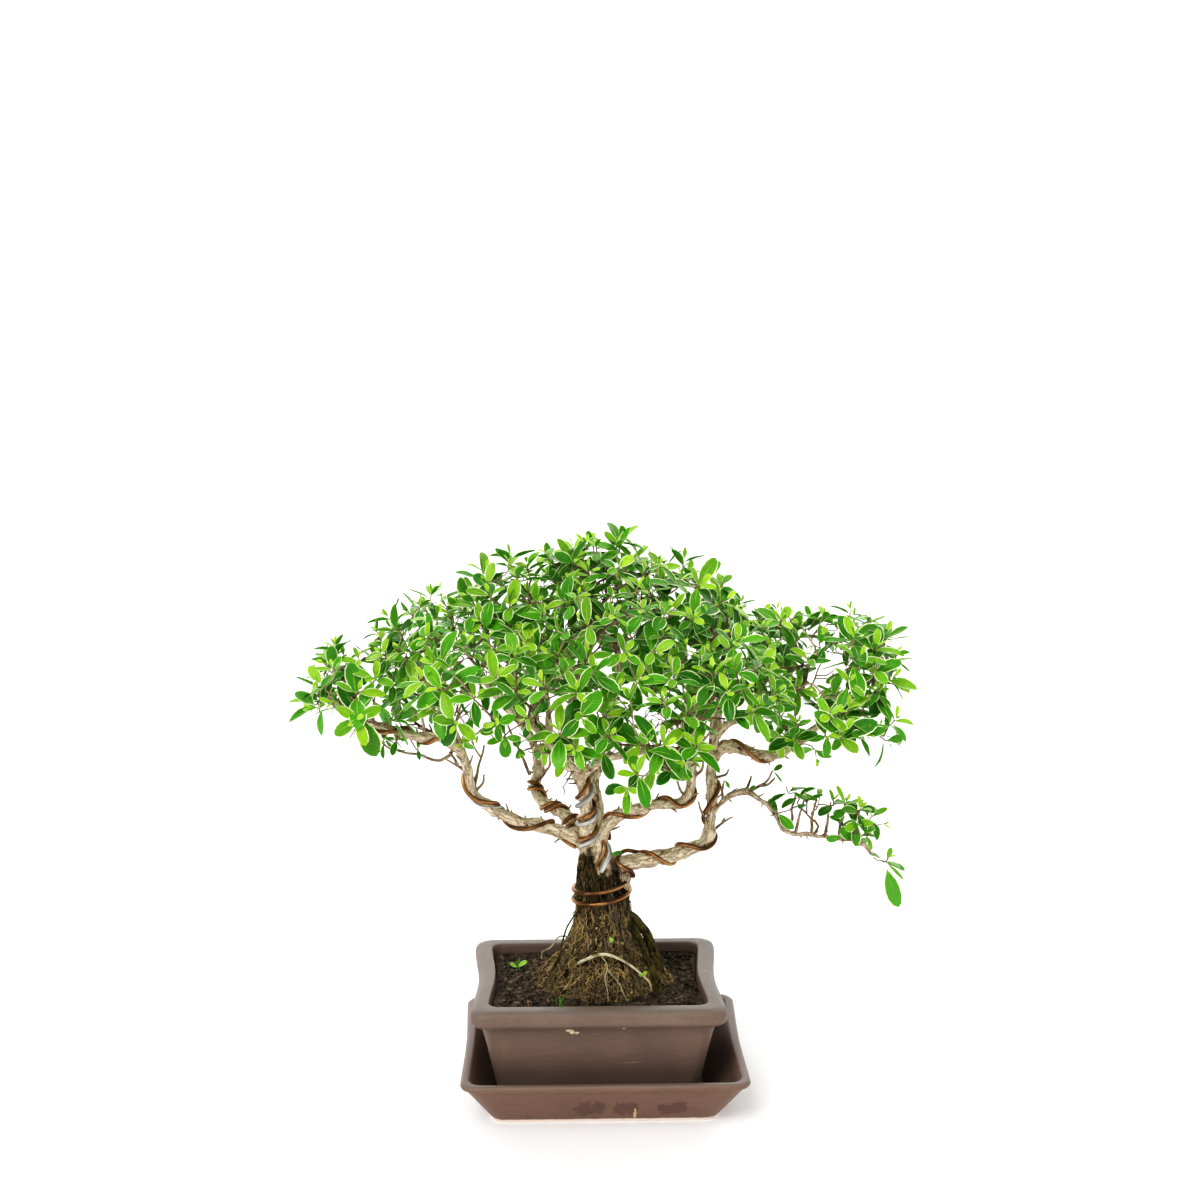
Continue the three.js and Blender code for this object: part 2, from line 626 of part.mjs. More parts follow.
// Rosette places: an even spiral over each mass, less those inside another mass or crowding another.
function rosettePlaces() {
  const places = [];
  FOLIAGE.forEach((mass, which) => {
    const [a, b, c] = mass.half;
    const spacing = mass.spacing ?? ROSETTE_SPACING;
    const mean = [a * b, a * c, b * c].reduce((sum, face) => sum + face ** AREA_POWER / 3, 0);
    const count = Math.ceil((4 * Math.PI * mean ** (1 / AREA_POWER)) / (CROWDED * spacing * spacing));
    for (let k = 0; k < count; k++) {
      const height = 1 - (2 * (k + 0.5)) / count;
      if (height < LOWEST_ON_MASS) break;
      const level = Math.sqrt(1 - height * height);
      const turn = k * GOLDEN_ANGLE + which;
      const out = new THREE.Vector3(level * Math.cos(turn), level * Math.sin(turn), height);
      const point = out.clone().multiply(vector(mass.half)).add(vector(mass.centre));
      const buried = FOLIAGE.some((other) => other !== mass && depthInMass(point, other) < BURIED);
      const crowded = places.some((other) => other.point.distanceTo(point) < CROWDED * spacing);
      if (!buried && !crowded) places.push({ point, out: out.divide(vector(mass.half)).normalize() });
    }
  });
  const { point, out, lean } = NODDING_ROSETTE;
  return [...places, { point: vector(point), out: vector(out), lean }];
}

// The leaves of a rosette, one after another round its twig: low and high leaves take turns.
function rosetteLeaves(count, draw) {
  return Array.from({ length: count }, (_, k) => ({
    angle: ((k + 0.3 * (draw() - 0.5)) * 2 * Math.PI) / count,
    length: mix(...LEAF.length, draw()),
    rise: mix(...(k % 2 ? LEAF.highRise : LEAF.lowRise), draw()),
  }));
}

// The angle from one leaf of a rosette to the next.
function gapToNext(leaves, k) {
  const last = k + 1 === leaves.length;
  return leaves[(k + 1) % leaves.length].angle - leaves[k].angle + (last ? 2 * Math.PI : 0);
}

// A rosette cut as one star-shaped blade, with each leaf then bent up from the middle and drooping to its
// tip. A blade for trying the room it needs is thicker by the spare on both faces.
function rosetteBody(leaves, frame, spare) {
  const outline = [];
  const lifts = [];
  leaves.forEach(({ angle, length, rise }, k) => {
    const gapAfter = gapToNext(leaves, k);
    const gaps = { [-1]: gapToNext(leaves, (k + leaves.length - 1) % leaves.length), 1: gapAfter };
    const between = angle + gapAfter / 2;
    const [along, side] = [new THREE.Vector2(1, 0), new THREE.Vector2(0, 1)];
    [along, side].forEach((way) => way.rotateAround(new THREE.Vector2(), angle));
    const reach = length * Math.cos(rise);
    const lift = (t) => t * length * (Math.sin(rise) - LEAF.droop * t);
    for (const [t, across] of [[LEAF.widest, -1], [1, 0], [LEAF.widest, 1]]) {
      const room = t * reach * Math.tan((LEAF.sector * (gaps[across] ?? 0)) / 2);
      const half = across * Math.min((LEAF.width * length) / 2, room);
      outline.push(along.clone().multiplyScalar(t * reach).addScaledVector(side, half));
      lifts.push(lift(t) + LEAF.fold * Math.abs(half));
    }
    outline.push(new THREE.Vector2(LEAF.neck * Math.cos(between), LEAF.neck * Math.sin(between)));
    lifts.push(0);
  });
  const blade = new THREE.ExtrudeGeometry(new THREE.Shape(outline), {
    depth: LEAF.thickness + 2 * spare, bevelEnabled: false, curveSegments: 1,
  });
  const place = blade.attributes.position;
  for (let i = 0; i < place.count; i++) {
    const away = outline.map((point) => Math.hypot(point.x - place.getX(i), point.y - place.getY(i)));
    place.setZ(i, place.getZ(i) - spare + lifts[away.indexOf(Math.min(...away))]);
  }
  return solid(blade.applyMatrix4(frame));
}

// A frame with +Z along the twig, turned round it.
function rosetteFrame(point, axis, turn) {
  const across = new THREE.Vector3(1, 0.3, 0).cross(axis).normalize().applyAxisAngle(axis, turn);
  return new THREE.Matrix4().makeBasis(across, axis.clone().cross(across), axis).setPosition(point);
}

// A three-sided twig from one point to another.
function twigBody(from, to, rootRadius, tipRadius, sides = 3) {
  const run = to.clone().sub(from);
  const twig = new THREE.CylinderGeometry(tipRadius, rootRadius, run.length(), sides);
  const upright = new THREE.Vector3(0, 1, 0);
  twig.applyQuaternion(new THREE.Quaternion().setFromUnitVectors(upright, run.clone().normalize()));
  return solid(twig.translate(...from.clone().add(to).multiplyScalar(0.5).toArray()));
}

function boxesMeet(a, b) {
  return [0, 1, 2].every((k) => a.min[k] < b.max[k] && b.min[k] < a.max[k]);
}

// Whether a body keeps clear of every obstacle.
function isClear(body, obstacles) {
  const box = body.boundingBox();
  return obstacles.every((other) => !boxesMeet(box, other.box) || body.intersect(other.body).isEmpty());
}

const obstacle = (body) => ({ body, box: body.boundingBox() });
const CLEARANCE = 0.6;
const COLLAR_REACHES = [7, 5, 3];
const TURNS_TRIED = 8;
const SIZES_TRIED = [1, 0.85, 0.72];

function spraySites() {
  return Object.entries(SPRAY_SITES).flatMap(([limb, places]) => places.map((at, k) => {
    const root = CURVES[limb].getPointAt(at === 1 ? TIP_SITE : at);
    return { name: `spray_${limb}_${k + 1}`, root, radius: mix(...LIMBS[limb].radii, at), buds: [] };
  }));
}

// The best place on a growing spray for a new twig to fork from: near the bud and not far round.
function forkPlaces(skeleton, bud) {
  const places = skeleton.flatMap(({ from, to, reach }) => FORK_PLACES.map((t) => {
    const point = from.clone().lerp(to, t);
    const travelled = reach + from.distanceTo(point);
    return { point, travelled, cost: point.distanceTo(bud) + DETOUR * travelled };
  }));
  return places.sort((a, b) => a.cost - b.cost);
}

// A rosette at a bud, turned and if need be shrunk until its leaves cross nothing, or undefined.
function fittedRosette(bud, axis, inTheWay, draw) {
  const leaves = rosetteLeaves(LEAF.counts[Math.floor(draw() * LEAF.counts.length)], draw);
  for (const size of SIZES_TRIED) {
    const sized = leaves.map((leaf) => ({ ...leaf, length: leaf.length * size }));
    for (let turn = 0; turn < TURNS_TRIED; turn++) {
      const frame = rosetteFrame(bud.point, axis, turn);
      const wider = frame.clone().scale(new THREE.Vector3(LEAF.room, LEAF.room, 1));
      if (isClear(rosetteBody(sized, wider, CLEARANCE), inTheWay)) return rosetteBody(sized, frame, 0);
    }
  }
  return undefined;
}

// A leafy spray: a collar out of the limb, then twigs that fork towards each bud, nearest first.
function sprayBody(site, wood, obstacles, draw) {
  const { root, radius, buds } = site;
  const mean = buds.reduce((sum, bud) => sum.add(bud.point), new THREE.Vector3()).divideScalar(buds.length);
  const way = mean.sub(root).normalize();
  const ends = COLLAR_REACHES.map((reach) => root.clone().addScaledVector(way, radius + reach));
  const collar = ends.find((end) => (
    isClear(twigBody(root, end, TWIG.collar + CLEARANCE, TWIG.fork + CLEARANCE), obstacles)
  ));
  if (!collar) throw new Error(`${site.name} crosses another piece`);
  const stems = [twigBody(root, collar, TWIG.collar, TWIG.fork)];
  const rosettes = [];
  const skeleton = [{ from: collar, to: collar, reach: 0 }];
  const inTheWay = [...obstacles, obstacle(wood)];
  const ordered = [...buds].sort((a, b) => a.point.distanceTo(collar) - b.point.distanceTo(collar));
  for (const bud of ordered) {
    const others = [...inTheWay, ...rosettes.map(obstacle)];
    const fork = forkPlaces(skeleton, bud.point).find(({ point }) => {
      const room = twigBody(point, bud.point, TWIG.fork + CLEARANCE, TWIG.tip + CLEARANCE);
      return isClear(room, others);
    });
    if (!fork) continue;
    const run = bud.point.clone().sub(fork.point).normalize();
    const upward = new THREE.Vector3(0, 0, bud.lean ?? UPWARD);
    const axis = run.addScaledVector(bud.out, OUTWARD).add(upward).normalize();
    const rosette = fittedRosette(bud, axis, others, draw);
    if (!rosette) continue;
    const end = bud.point.clone().addScaledVector(axis, TWIG.beyond);
    stems.push(twigBody(fork.point, end, TWIG.fork, TWIG.tip));
    rosettes.push(rosette);
    skeleton.push({ from: fork.point, to: bud.point, reach: fork.travelled });
  }
  return largest(join([...stems, ...rosettes]).subtract(wood));
}

// ---------------------------------------------------------------- the assembly

const clay = new THREE.MeshStandardMaterial({ color: 0x6b584f, roughness: 0.6, metalness: 0 });
const saucerClay = new THREE.MeshStandardMaterial({ color: 0x67493e, roughness: 0.55, metalness: 0 });
const earth = new THREE.MeshStandardMaterial({ color: 0x2b211b, roughness: 1, metalness: 0 });
const bark = new THREE.MeshStandardMaterial({ color: 0x8d7a66, roughness: 0.9, metalness: 0 });
const copper = new THREE.MeshStandardMaterial({ color: 0x8a5230, roughness: 0.4, metalness: 0.9 });
const silver = new THREE.MeshStandardMaterial({ color: 0xa3a5a8, roughness: 0.4, metalness: 0.9 });
const leaf = new THREE.MeshStandardMaterial({ color: 0x4c9a3c, roughness: 0.5, metalness: 0 });

const bonsai = new THREE.Group();
bonsai.add(piece('saucer', saucerBody(), saucerClay));

const potted = new THREE.Group();
potted.position.set(POT.shiftX, 0, POT_LIFT);
potted.add(piece('pot', potBody(), clay));
potted.add(piece('soil', soilBody(trunkBody(FIT)), earth));
bonsai.add(potted);

bonsai.add(piece('tree_wood', largest(woodBody(0)), bark));
const clearWood = woodBody(FIT);
const standing = [];
for (const [name, wire] of Object.entries(WIRES)) {
  const body = largest(wireBody(wire).subtract(clearWood));
  bonsai.add(piece(name, body, name.includes('copper') ? copper : silver));
  standing.push(obstacle(body));
}

const sites = spraySites();
for (const bud of rosettePlaces()) {
  const distances = sites.map((site) => site.root.distanceTo(bud.point));
  sites[distances.indexOf(Math.min(...distances))].buds.push(bud);
}
const draw = seededDraw(20260);
for (const site of sites.filter(({ buds }) => buds.length > 0)) {
  const body = sprayBody(site, clearWood, standing, draw);
  bonsai.add(piece(site.name, body, leaf));
  standing.push(obstacle(body));
}

export default bonsai;
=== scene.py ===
"""A small serissa trained as a bonsai, dressed around its packed frame.

Metres, +Z up. The origin is the middle of the saucer's flat underside, and the front faces -Y.
Lists of places and sizes are in millimetres.
"""
import functools
import json
import math

import bpy
import numpy as np
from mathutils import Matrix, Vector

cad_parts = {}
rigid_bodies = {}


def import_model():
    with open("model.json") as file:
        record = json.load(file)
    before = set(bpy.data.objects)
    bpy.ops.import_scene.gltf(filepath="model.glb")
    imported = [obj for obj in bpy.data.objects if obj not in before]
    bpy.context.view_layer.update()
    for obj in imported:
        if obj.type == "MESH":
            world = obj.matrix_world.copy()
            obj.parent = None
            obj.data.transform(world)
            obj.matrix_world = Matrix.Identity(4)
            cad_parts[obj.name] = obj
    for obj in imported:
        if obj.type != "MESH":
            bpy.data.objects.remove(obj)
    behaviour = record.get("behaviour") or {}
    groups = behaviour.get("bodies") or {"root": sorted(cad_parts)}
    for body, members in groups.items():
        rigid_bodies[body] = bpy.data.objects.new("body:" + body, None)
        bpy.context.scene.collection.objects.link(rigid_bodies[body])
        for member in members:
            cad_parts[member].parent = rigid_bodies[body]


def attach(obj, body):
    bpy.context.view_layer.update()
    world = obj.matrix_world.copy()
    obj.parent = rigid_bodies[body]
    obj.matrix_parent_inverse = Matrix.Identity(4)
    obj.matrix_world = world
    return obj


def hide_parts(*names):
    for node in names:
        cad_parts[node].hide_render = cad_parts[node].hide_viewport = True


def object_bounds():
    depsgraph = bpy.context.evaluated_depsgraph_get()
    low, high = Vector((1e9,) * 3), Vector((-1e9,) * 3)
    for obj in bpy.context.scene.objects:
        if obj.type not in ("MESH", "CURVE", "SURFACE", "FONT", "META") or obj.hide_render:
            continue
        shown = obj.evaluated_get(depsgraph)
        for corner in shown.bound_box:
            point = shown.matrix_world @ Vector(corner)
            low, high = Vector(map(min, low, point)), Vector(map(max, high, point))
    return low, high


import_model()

bl_info = {
    "name": "Serissa Bonsai",
    "version": (1, 0, 0),
    "blender": (4, 5, 0),
    "location": "View3D > Sidebar > Bonsai",
    "description": "Builds a small wired serissa with its soil, pot and drip saucer",
    "category": "Add Mesh",
}

CAD_BOX = [list(corner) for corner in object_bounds()]
MM = 0.001
UP = np.array([0.0, 0.0, 1.0])
FRONT = np.array([0.0, -1.0, 0.0])

# ---------------------------------------------------------------- shape of the object

SAUCER = {"width": 180, "depth": 141, "height": 33, "base": (141, 101), "floor": 4, "wall": 5.2, "waist": 1.5}
POT = {
    "width": 160, "depth": 125, "rim_top": 78, "shift": -4, "rim_band": 11, "overhang": 7, "taper": 10.5,
    "wall": 6, "waist": 4, "foot": 3.5, "floor": 5, "drain_radius": 6, "drain_x": 28,
}
FIT = 0.3
SOIL_BELOW_RIM = 5.8

# The crown of roots and the trunk: height, middle, half sizes across X and Y, depth of the flutes.
TRUNK = [
    (60, 0, 38, 34, 0.0), (66, 0, 42, 36.5, 0.0), (72, 0, 44.5, 38.5, 0.03), (77, 0, 41.5, 36.5, 0.07),
    (85, 0.5, 34, 31, 0.1), (94, 1, 27.2, 25, 0.1), (104, 1, 21.6, 20.6, 0.08), (116, 0.4, 17.4, 16.8, 0.06),
    (132, -0.7, 15.5, 15.1, 0.04), (146, -2.3, 13.7, 13.3, 0.04), (157, -4.5, 10.4, 10.8, 0.03),
    (165, -6.5, 6, 6.5, 0.02),
]

# Limbs: radius where each leaves the wood below, radius at its tip, and its centre line.
LIMBS = {
    "leader": (5, 1.9, [
        (-5, -1, 152), (-10, -8, 173), (-10.5, -12, 190), (-12, -14, 204), (-16.5, -14, 220),
        (-19.5, -10, 250), (-16, -5, 272), (-10, -1, 298), (-5, 0, 332)]),
    "crown_left": (2.2, 1.4, [(-17, -4, 268), (-26, -8, 284), (-38, -12, 298), (-52, -12, 311)]),
    "crown_right": (2.2, 1.4, [(-12, -2, 290), (0, 4, 303), (16, 8, 314), (34, 8, 322)]),
    "rear": (4.4, 1.8, [
        (-3, 4, 152), (-2, 10, 170), (-3, 18, 183), (-5, 28, 196), (-1, 42, 213), (7, 58, 236),
        (12, 72, 261), (10, 80, 280)]),
    "left": (4.4, 2, [
        (-6, 0, 158), (-17, -4, 170.5), (-29, -8, 177), (-42, -12, 182.5), (-51, -15, 185),
        (-61, -18, 190.5), (-70, -20, 196), (-77, -21, 202), (-82, -22, 210), (-83.5, -22, 221),
        (-89, -20, 236), (-94, -15, 246), (-97, -8, 262), (-100, -5, 276)]),
    "left_low": (3.2, 1.6, [
        (-88, -20.5, 234), (-101, -22, 242), (-116, -24, 244), (-128, -25, 248), (-142, -25, 253),
        (-156, -24, 261), (-168, -22, 271)]),
    "left_mid": (4, 1.9, [
        (-6, 3, 160), (-19, 9, 177), (-33, 18, 184.5), (-40, 25, 187.5), (-43, 32, 193),
        (-41, 41, 203), (-43, 47, 215), (-52, 50, 231), (-66, 52, 246), (-80, 50, 268)]),
    "left_rear": (2.8, 1.6, [(-41, 41, 202), (-35, 56, 215), (-34, 72, 231), (-38, 84, 252)]),
    "right_mid": (4.2, 1.9, [
        (-2, -2, 156), (-1, -6, 172), (2, -9, 180), (9, -13, 188), (18, -16, 192.5), (29, -19, 196.5),
        (38.5, -21, 198), (46, -22, 198.5), (51, -23, 203), (53.5, -23, 211), (54, -21, 226),
        (53.5, -15, 246), (56, -6, 270), (58, 0, 290)]),
    "right_low": (5, 2.2, [
        (4, 3, 136), (11, 0, 147), (17, -4, 153.5), (25, -6, 156), (33, -7, 158.5), (43, -7, 160),
        (53, -6, 163), (62, -4, 165.5), (66.5, -2, 170.5), (67.5, 0, 176.5), (69.5, 4, 189),
        (69.5, 8, 199), (69, 11, 210), (70, 15, 222), (72, 19, 235), (76, 26, 256), (80, 34, 280)]),
    "right_high": (3.5, 1.7, [
        (70, 14, 219), (77, 18, 222.5), (85, 20, 222), (95, 21, 218.5), (105, 21, 216.5),
        (114, 20, 218.5), (123, 17, 225), (133, 13, 235), (144, 9, 246), (156, 5, 258), (169, 1, 273)]),
    "right_up": (2.8, 1.6, [
        (71, 18, 230), (78, 14, 238), (86, 7, 245), (97, 2, 251), (109, -4, 259), (119, -8, 268),
        (126, -9, 281)]),
    "hanging": (1.9, 1, [
        (69, 2, 184), (76, -2, 194), (82, -6, 200), (91, -10, 202), (98, -13, 198), (105, -15, 192),
        (109, -17, 186), (112, -18, 180.5), (118, -19, 177.5), (128, -20, 177), (142, -20, 175),
        (156, -20, 173), (164, -20, 168.5), (168, -20, 163)]),
    "front_left": (2.8, 1.6, [
        (-14.5, -14, 214), (-17, -30, 222), (-23, -47, 232), (-32, -62, 247), (-45, -74, 266)]),
    "front_right": (2.8, 1.6, [
        (-15, -14, 213), (-7, -30, 226), (5, -48, 237), (18, -66, 245), (30, -80, 252)]),
    "rear_right": (2.6, 1.6, [(54, -21, 219), (54, 0, 223), (53, 25, 226), (54, 48, 233), (58, 66, 246)]),
}
# Short bare twigs on the limbs, thick end first.
BARE_TWIGS = [
    [(69.5, 2, 172), (75.3, 0, 179.1), (82.3, 0, 183)],
    [(75.5, 0, 179.3), (77.5, 1, 182.5)],
    [(76, -2.5, 194.5), (75.2, -3, 201), (76.6, -3, 207.8)],
    [(92.5, -10, 202), (93.6, -8, 202.8), (101.3, -8, 207.8), (106.2, -8, 215)],
    [(98, -8, 205.5), (103, -10, 207), (107, -11, 210.5)],
    [(90, -9.5, 202), (91.5, -6, 207), (92, -5, 211)],
    [(-93, -20.5, 238), (-94.2, -21, 231.5), (-101.5, -23, 228.3), (-112.4, -25, 231.6), (-128.1, -26, 235.8),
     (-137.2, -25, 240.5)],
    [(-84, -21, 219), (-93, -22, 226), (-97, -23, 229)],
    [(-90, -21.6, 223.6), (-92, -22, 229), (-95, -22, 233)],
    [(-46.5, 38, 199.2), (-51.5, 40, 211), (-57.6, 41, 224), (-62, 42, 236)],
    [(-43, 33, 196), (-36, 30, 203), (-33, 27, 211), (-33, 24, 224)],
    [(-88, -20.5, 232), (-84, -20, 250), (-76, -24, 264)],
    [(-80, -21.5, 207), (-75, -22, 212), (-73.5, -23, 218)],
    [(119.5, -19, 177.5), (121.8, -22, 190), (124.2, -22, 200)],
    [(129.5, -20, 177), (130, -18, 188), (131.6, -18, 200)],
    [(138, -20, 175.5), (139, -22, 187), (141.5, -23, 199.5)],
    [(147, -20, 174.5), (148, -18, 184), (151, -17, 195)],
    [(112, -18, 180.5), (117, -16, 184), (118, -16, 194), (119.5, -16, 202)],
    [(155, -20, 173), (158, -24, 184), (159.5, -23, 194)],
    [(54, -20, 228), (46, -24, 236), (40, -27, 247)],
    [(54, -22, 214), (60, -26, 222), (63, -28, 236)],
    [(70, 9, 205), (77, 5, 209), (80, 0, 214)],
    [(67.6, 1, 179), (62, -2, 186), (59, -5, 194)],
    [(52, -22.5, 203), (47, -26, 209), (44, -28, 218)],
]

# Radii of the three wires.
COPPER_WIRE = 1.35
STOUT_WIRE = 1.6
FINE_WIRE = 0.7
# Wires: the radius and the runs of each. A run winds on one limb through turns, each given as a place along
# the limb and an angle from the front, or it goes through plain points.
WIRES = {
    "wire_copper_trunk_right": (COPPER_WIRE, [
        ("trunk", [(0.68, 150), (0.79, 815)]),
        (None, [(19, -9, 147), (17, -15.3, 152.2), (11.8, -16.8, 155.6), (8.4, -12.5, 158.3),
                (10.2, -8.3, 161.3), (14.5, -4.6, 162.3)]),
        ("right_low", [
            (0.155, 235), (0.178, 270), (0.222, 360), (0.262, 450), (0.28, 540), (0.295, 630), (0.35, 720),
            (0.4, 810), (0.43, 900), (0.464, 990), (0.52, 1080), (0.565, 1170), (0.595, 1260)])]),
    "wire_copper_left": (COPPER_WIRE, [("left", [
        (0.085, -45), (0.15, -120), (0.19, -180), (0.225, -270), (0.286, -360), (0.37, -450), (0.42, -540),
        (0.46, -630), (0.53, -720), (0.605, -810), (0.65, -890)])]),
    "wire_copper_left_far": (COPPER_WIRE, [("left_low", [
        (0.14, 60), (0.2, 0), (0.28, -90), (0.36, -180), (0.42, -270), (0.5, -360), (0.58, -450),
        (0.62, -520)])]),
    "wire_copper_mid_left_a": (COPPER_WIRE, [("left_mid", [
        (0.13, 150), (0.15, 90), (0.178, -90), (0.21, -180), (0.241, -270), (0.306, -450), (0.345, -540),
        (0.38, -630), (0.415, -810), (0.43, -880)])]),
    "wire_copper_mid_left_b": (COPPER_WIRE, [("left_mid", [
        (0.11, 140), (0.125, 90), (0.152, -90), (0.183, -180), (0.215, -270), (0.28, -450), (0.318, -540),
        (0.355, -630), (0.39, -810), (0.405, -880)])]),
    "wire_copper_leader": (COPPER_WIRE, [("leader", [
        (0.122, 290), (0.137, 360), (0.159, 450), (0.177, 540), (0.196, 630), (0.217, 720), (0.24, 810),
        (0.258, 900), (0.277, 990), (0.307, 1080), (0.338, 1170), (0.358, 1250)])]),
    "wire_silver_leader": (STOUT_WIRE, [("leader", [
        (0.105, 300), (0.118, 360), (0.14, 450), (0.157, 540), (0.175, 630), (0.195, 720), (0.216, 810),
        (0.23, 900), (0.245, 990), (0.273, 1080), (0.303, 1170), (0.325, 1250)])]),
    "wire_copper_mid_right": (COPPER_WIRE, [("right_mid", [
        (0.085, 90), (0.13, 180), (0.19, 270), (0.243, 360), (0.301, 450), (0.35, 540), (0.4, 630),
        (0.445, 720), (0.496, 810), (0.53, 900), (0.54, 940)])]),
    "wire_copper_right_high": (COPPER_WIRE, [("right_high", [
        (0.1, 180), (0.13, 270), (0.21, 360), (0.3, 450), (0.38, 540), (0.44, 630), (0.52, 720),
        (0.58, 800)])]),
    "wire_silver_left": (FINE_WIRE, [("left", [
        (0.392, -160), (0.4, -180), (0.432, -270), (0.485, -360), (0.54, -450), (0.55, -490)])]),
}
# Loose ends of wire that lie over the neck of the trunk.
TAILS = {
    "wire_silver_leader": [
        (-1.9, -17.6, 152.6), (1, -17.2, 158.2), (3.4, -15.2, 162.9), (3.4, -12, 166.6), (1, -8, 169.9)],
    "wire_copper_leader": [
        (-4.1, -15.6, 155.6), (-2.4, -15.2, 160.4), (-0.4, -14.8, 164.8), (0.4, -13, 168.5),
        (-0.8, -9, 171.6)],
}
# The trunk's middle line, along which the places of the wire on it are measured.
TRUNK_LINE = [
    (0, 0, 48), (0, 0, 62), (0, 0, 72), (0, 0, 77), (0.5, 0, 85), (1, 0, 94), (1, 0, 104), (0.4, 0, 116),
    (-0.7, 0, 132), (-2.3, 0, 146), (-4.5, 0, 157), (-6.5, 0, 165),
]

# Places along the limbs where leafy sprays leave them; 1 is the tip.
SPRAY_SITES = {
    "leader": [0.66, 1], "crown_left": [1], "crown_right": [1], "rear": [0.76, 1], "left": [1],
    "left_low": [1], "left_mid": [1], "left_rear": [1], "right_mid": [0.8, 1], "right_low": [1],
    "right_up": [1], "right_high": [1], "front_left": [0.66, 1], "front_right": [1],
    "rear_right": [1], "hanging": [0.66, 0.82, 1],
}
# The foliage masses: squat ellipsoids, by middle and half sizes.
FOLIAGE = [
    ((0, 5, 320), (46, 50, 41)), ((-48, 0, 311), (46, 52, 38)), ((46, 5, 307), (42, 52, 40)),
    ((-100, -5, 291), (44, 52, 36)), ((-150, -15, 270), (33, 42, 28)), ((-66, -62, 284), (46, 42, 32)),
    ((-22, -78, 278), (40, 38, 30)), ((22, -86, 258), (36, 36, 34)), ((62, -66, 280), (42, 42, 30)),
    ((0, -46, 308), (50, 42, 36)), ((96, 0, 282), (36, 48, 34)), ((148, 0, 284), (40, 46, 30)),
    ((136, -32, 252), (38, 34, 22)), ((-82, 58, 272), (52, 42, 36)), ((0, 82, 276), (52, 36, 38)),
    ((80, 62, 268), (50, 42, 36)), ((-5, 45, 308), (54, 46, 36)),
]
# Shoots on the hanging branch and others that stand alone: place, the way they face, length of their leaves,
# how many pairs of leaves.
HANGING_SHOOTS = [
    ((125.4, -22, 201), (-0.2, -0.3, 1), 12.9, 3), ((134.7, -17, 201.5), (0.1, -0.2, 1), 12.9, 3),
    ((142.5, -24, 200.5), (0.1, -0.5, 1), 14, 3), ((151, -18, 197), (0.2, -0.3, 1), 15.2, 3),
    ((159.6, -23, 195), (0.3, -0.6, 0.8), 15.8, 4), ((169, -17, 188.5), (0.6, -0.4, 0.7), 15.2, 3),
    ((157, -26, 186), (0.2, -1, 0.4), 16.4, 3), ((165.5, -18, 175.5), (0.5, -0.6, 0.2), 15.8, 3),
    ((148.5, -20, 185.5), (-0.2, -0.7, 0.6), 11.7, 2), ((119.8, -16, 203.5), (-0.5, -0.2, 1), 12.3, 2),
    ((173, -22, 184), (0.9, -0.4, 0.3), 15.2, 2), ((113.5, -18, 208), (-0.3, -0.1, 1), 14, 1),
    ((149, -24, 172), (0.1, -0.6, -0.8), 15.2, 1), ((159.6, -20, 169.5), (0.1, -0.7, -0.7), 15.2, 1),
    ((107.2, -20, 190.5), (-0.4, -0.8, 0.1), 12.9, 1), ((178, -22, 162), (0.5, -0.5, 0.9), 14.6, 3),
]
LONE_SHOOTS = [
    # below the front of the crown
    ((27.8, -90, 242.2), (-0.05, -1, -0.15), 21.5, 3), ((11.6, -86, 228.5), (-0.15, -0.9, 0.05), 16, 4),
    ((-23.8, -64, 241.4), (-0.1, -0.8, -0.3), 17, 3), ((-36.3, -52, 246), (-0.2, -0.7, -0.1), 16, 3),
    ((-76.7, -42, 250.3), (-0.2, -0.7, -0.2), 17, 3), ((-60.2, -52, 250), (0, -0.8, -0.2), 16, 3),
    ((-51.5, -42, 239), (0.2, -0.7, -0.5), 13, 2), ((18.9, -92, 257), (-0.3, -0.9, 0.3), 20, 3),
    ((-4.3, -90, 252), (-0.3, -0.9, 0.1), 18, 3), ((48.3, -86, 256.9), (0.3, -0.9, 0.1), 18, 3),
    ((-86.5, -42, 245), (-0.3, -0.6, -0.3), 14, 2),
    # on the low twigs at either side
    ((-137.2, -25, 241.3), (-0.7, -0.4, 0.3), 10, 3), ((-127.3, -27, 244.2), (0, -0.5, 0.8), 9.5, 3),
    ((-114, -26, 237), (0.1, -0.6, 0.5), 8, 2), ((-128.5, -27, 235), (-0.1, -0.6, -0.6), 8, 1),
    ((133, -8, 224), (0.1, -0.5, -0.8), 16, 2), ((162.4, -10, 238), (0.7, -0.4, 0), 15, 2),
    ((148.3, -20, 242.2), (0.2, -0.7, 0.1), 15, 3), ((136.4, -30, 243.2), (0, -0.8, 0.1), 15, 3),
    ((105.6, -20, 240.6), (-0.1, -0.7, 0.1), 15, 3), ((116.9, -5, 231), (0.1, -0.6, -0.3), 13, 2),
]

# Seeds of the random draws, one for each kind of growth.
SEEDS = {"crumbs": 11, "fibres": 23, "twigs": 29, "strands": 7, "mat": 41, "moss": 3, "foliage": 17}


# ---------------------------------------------------------------- sizes and colours a user would change

def length_property(name, description, default):
    return bpy.props.FloatProperty(name=name, description=description, default=default, min=0, unit="LENGTH")


def strength_property(name, description, default):
    return bpy.props.FloatProperty(name=name, description=description, default=default, min=0)


def colour_property(name, description, default):
    return bpy.props.FloatVectorProperty(
        name=name, description=description, default=default, size=3, min=0, max=1, subtype="COLOR")


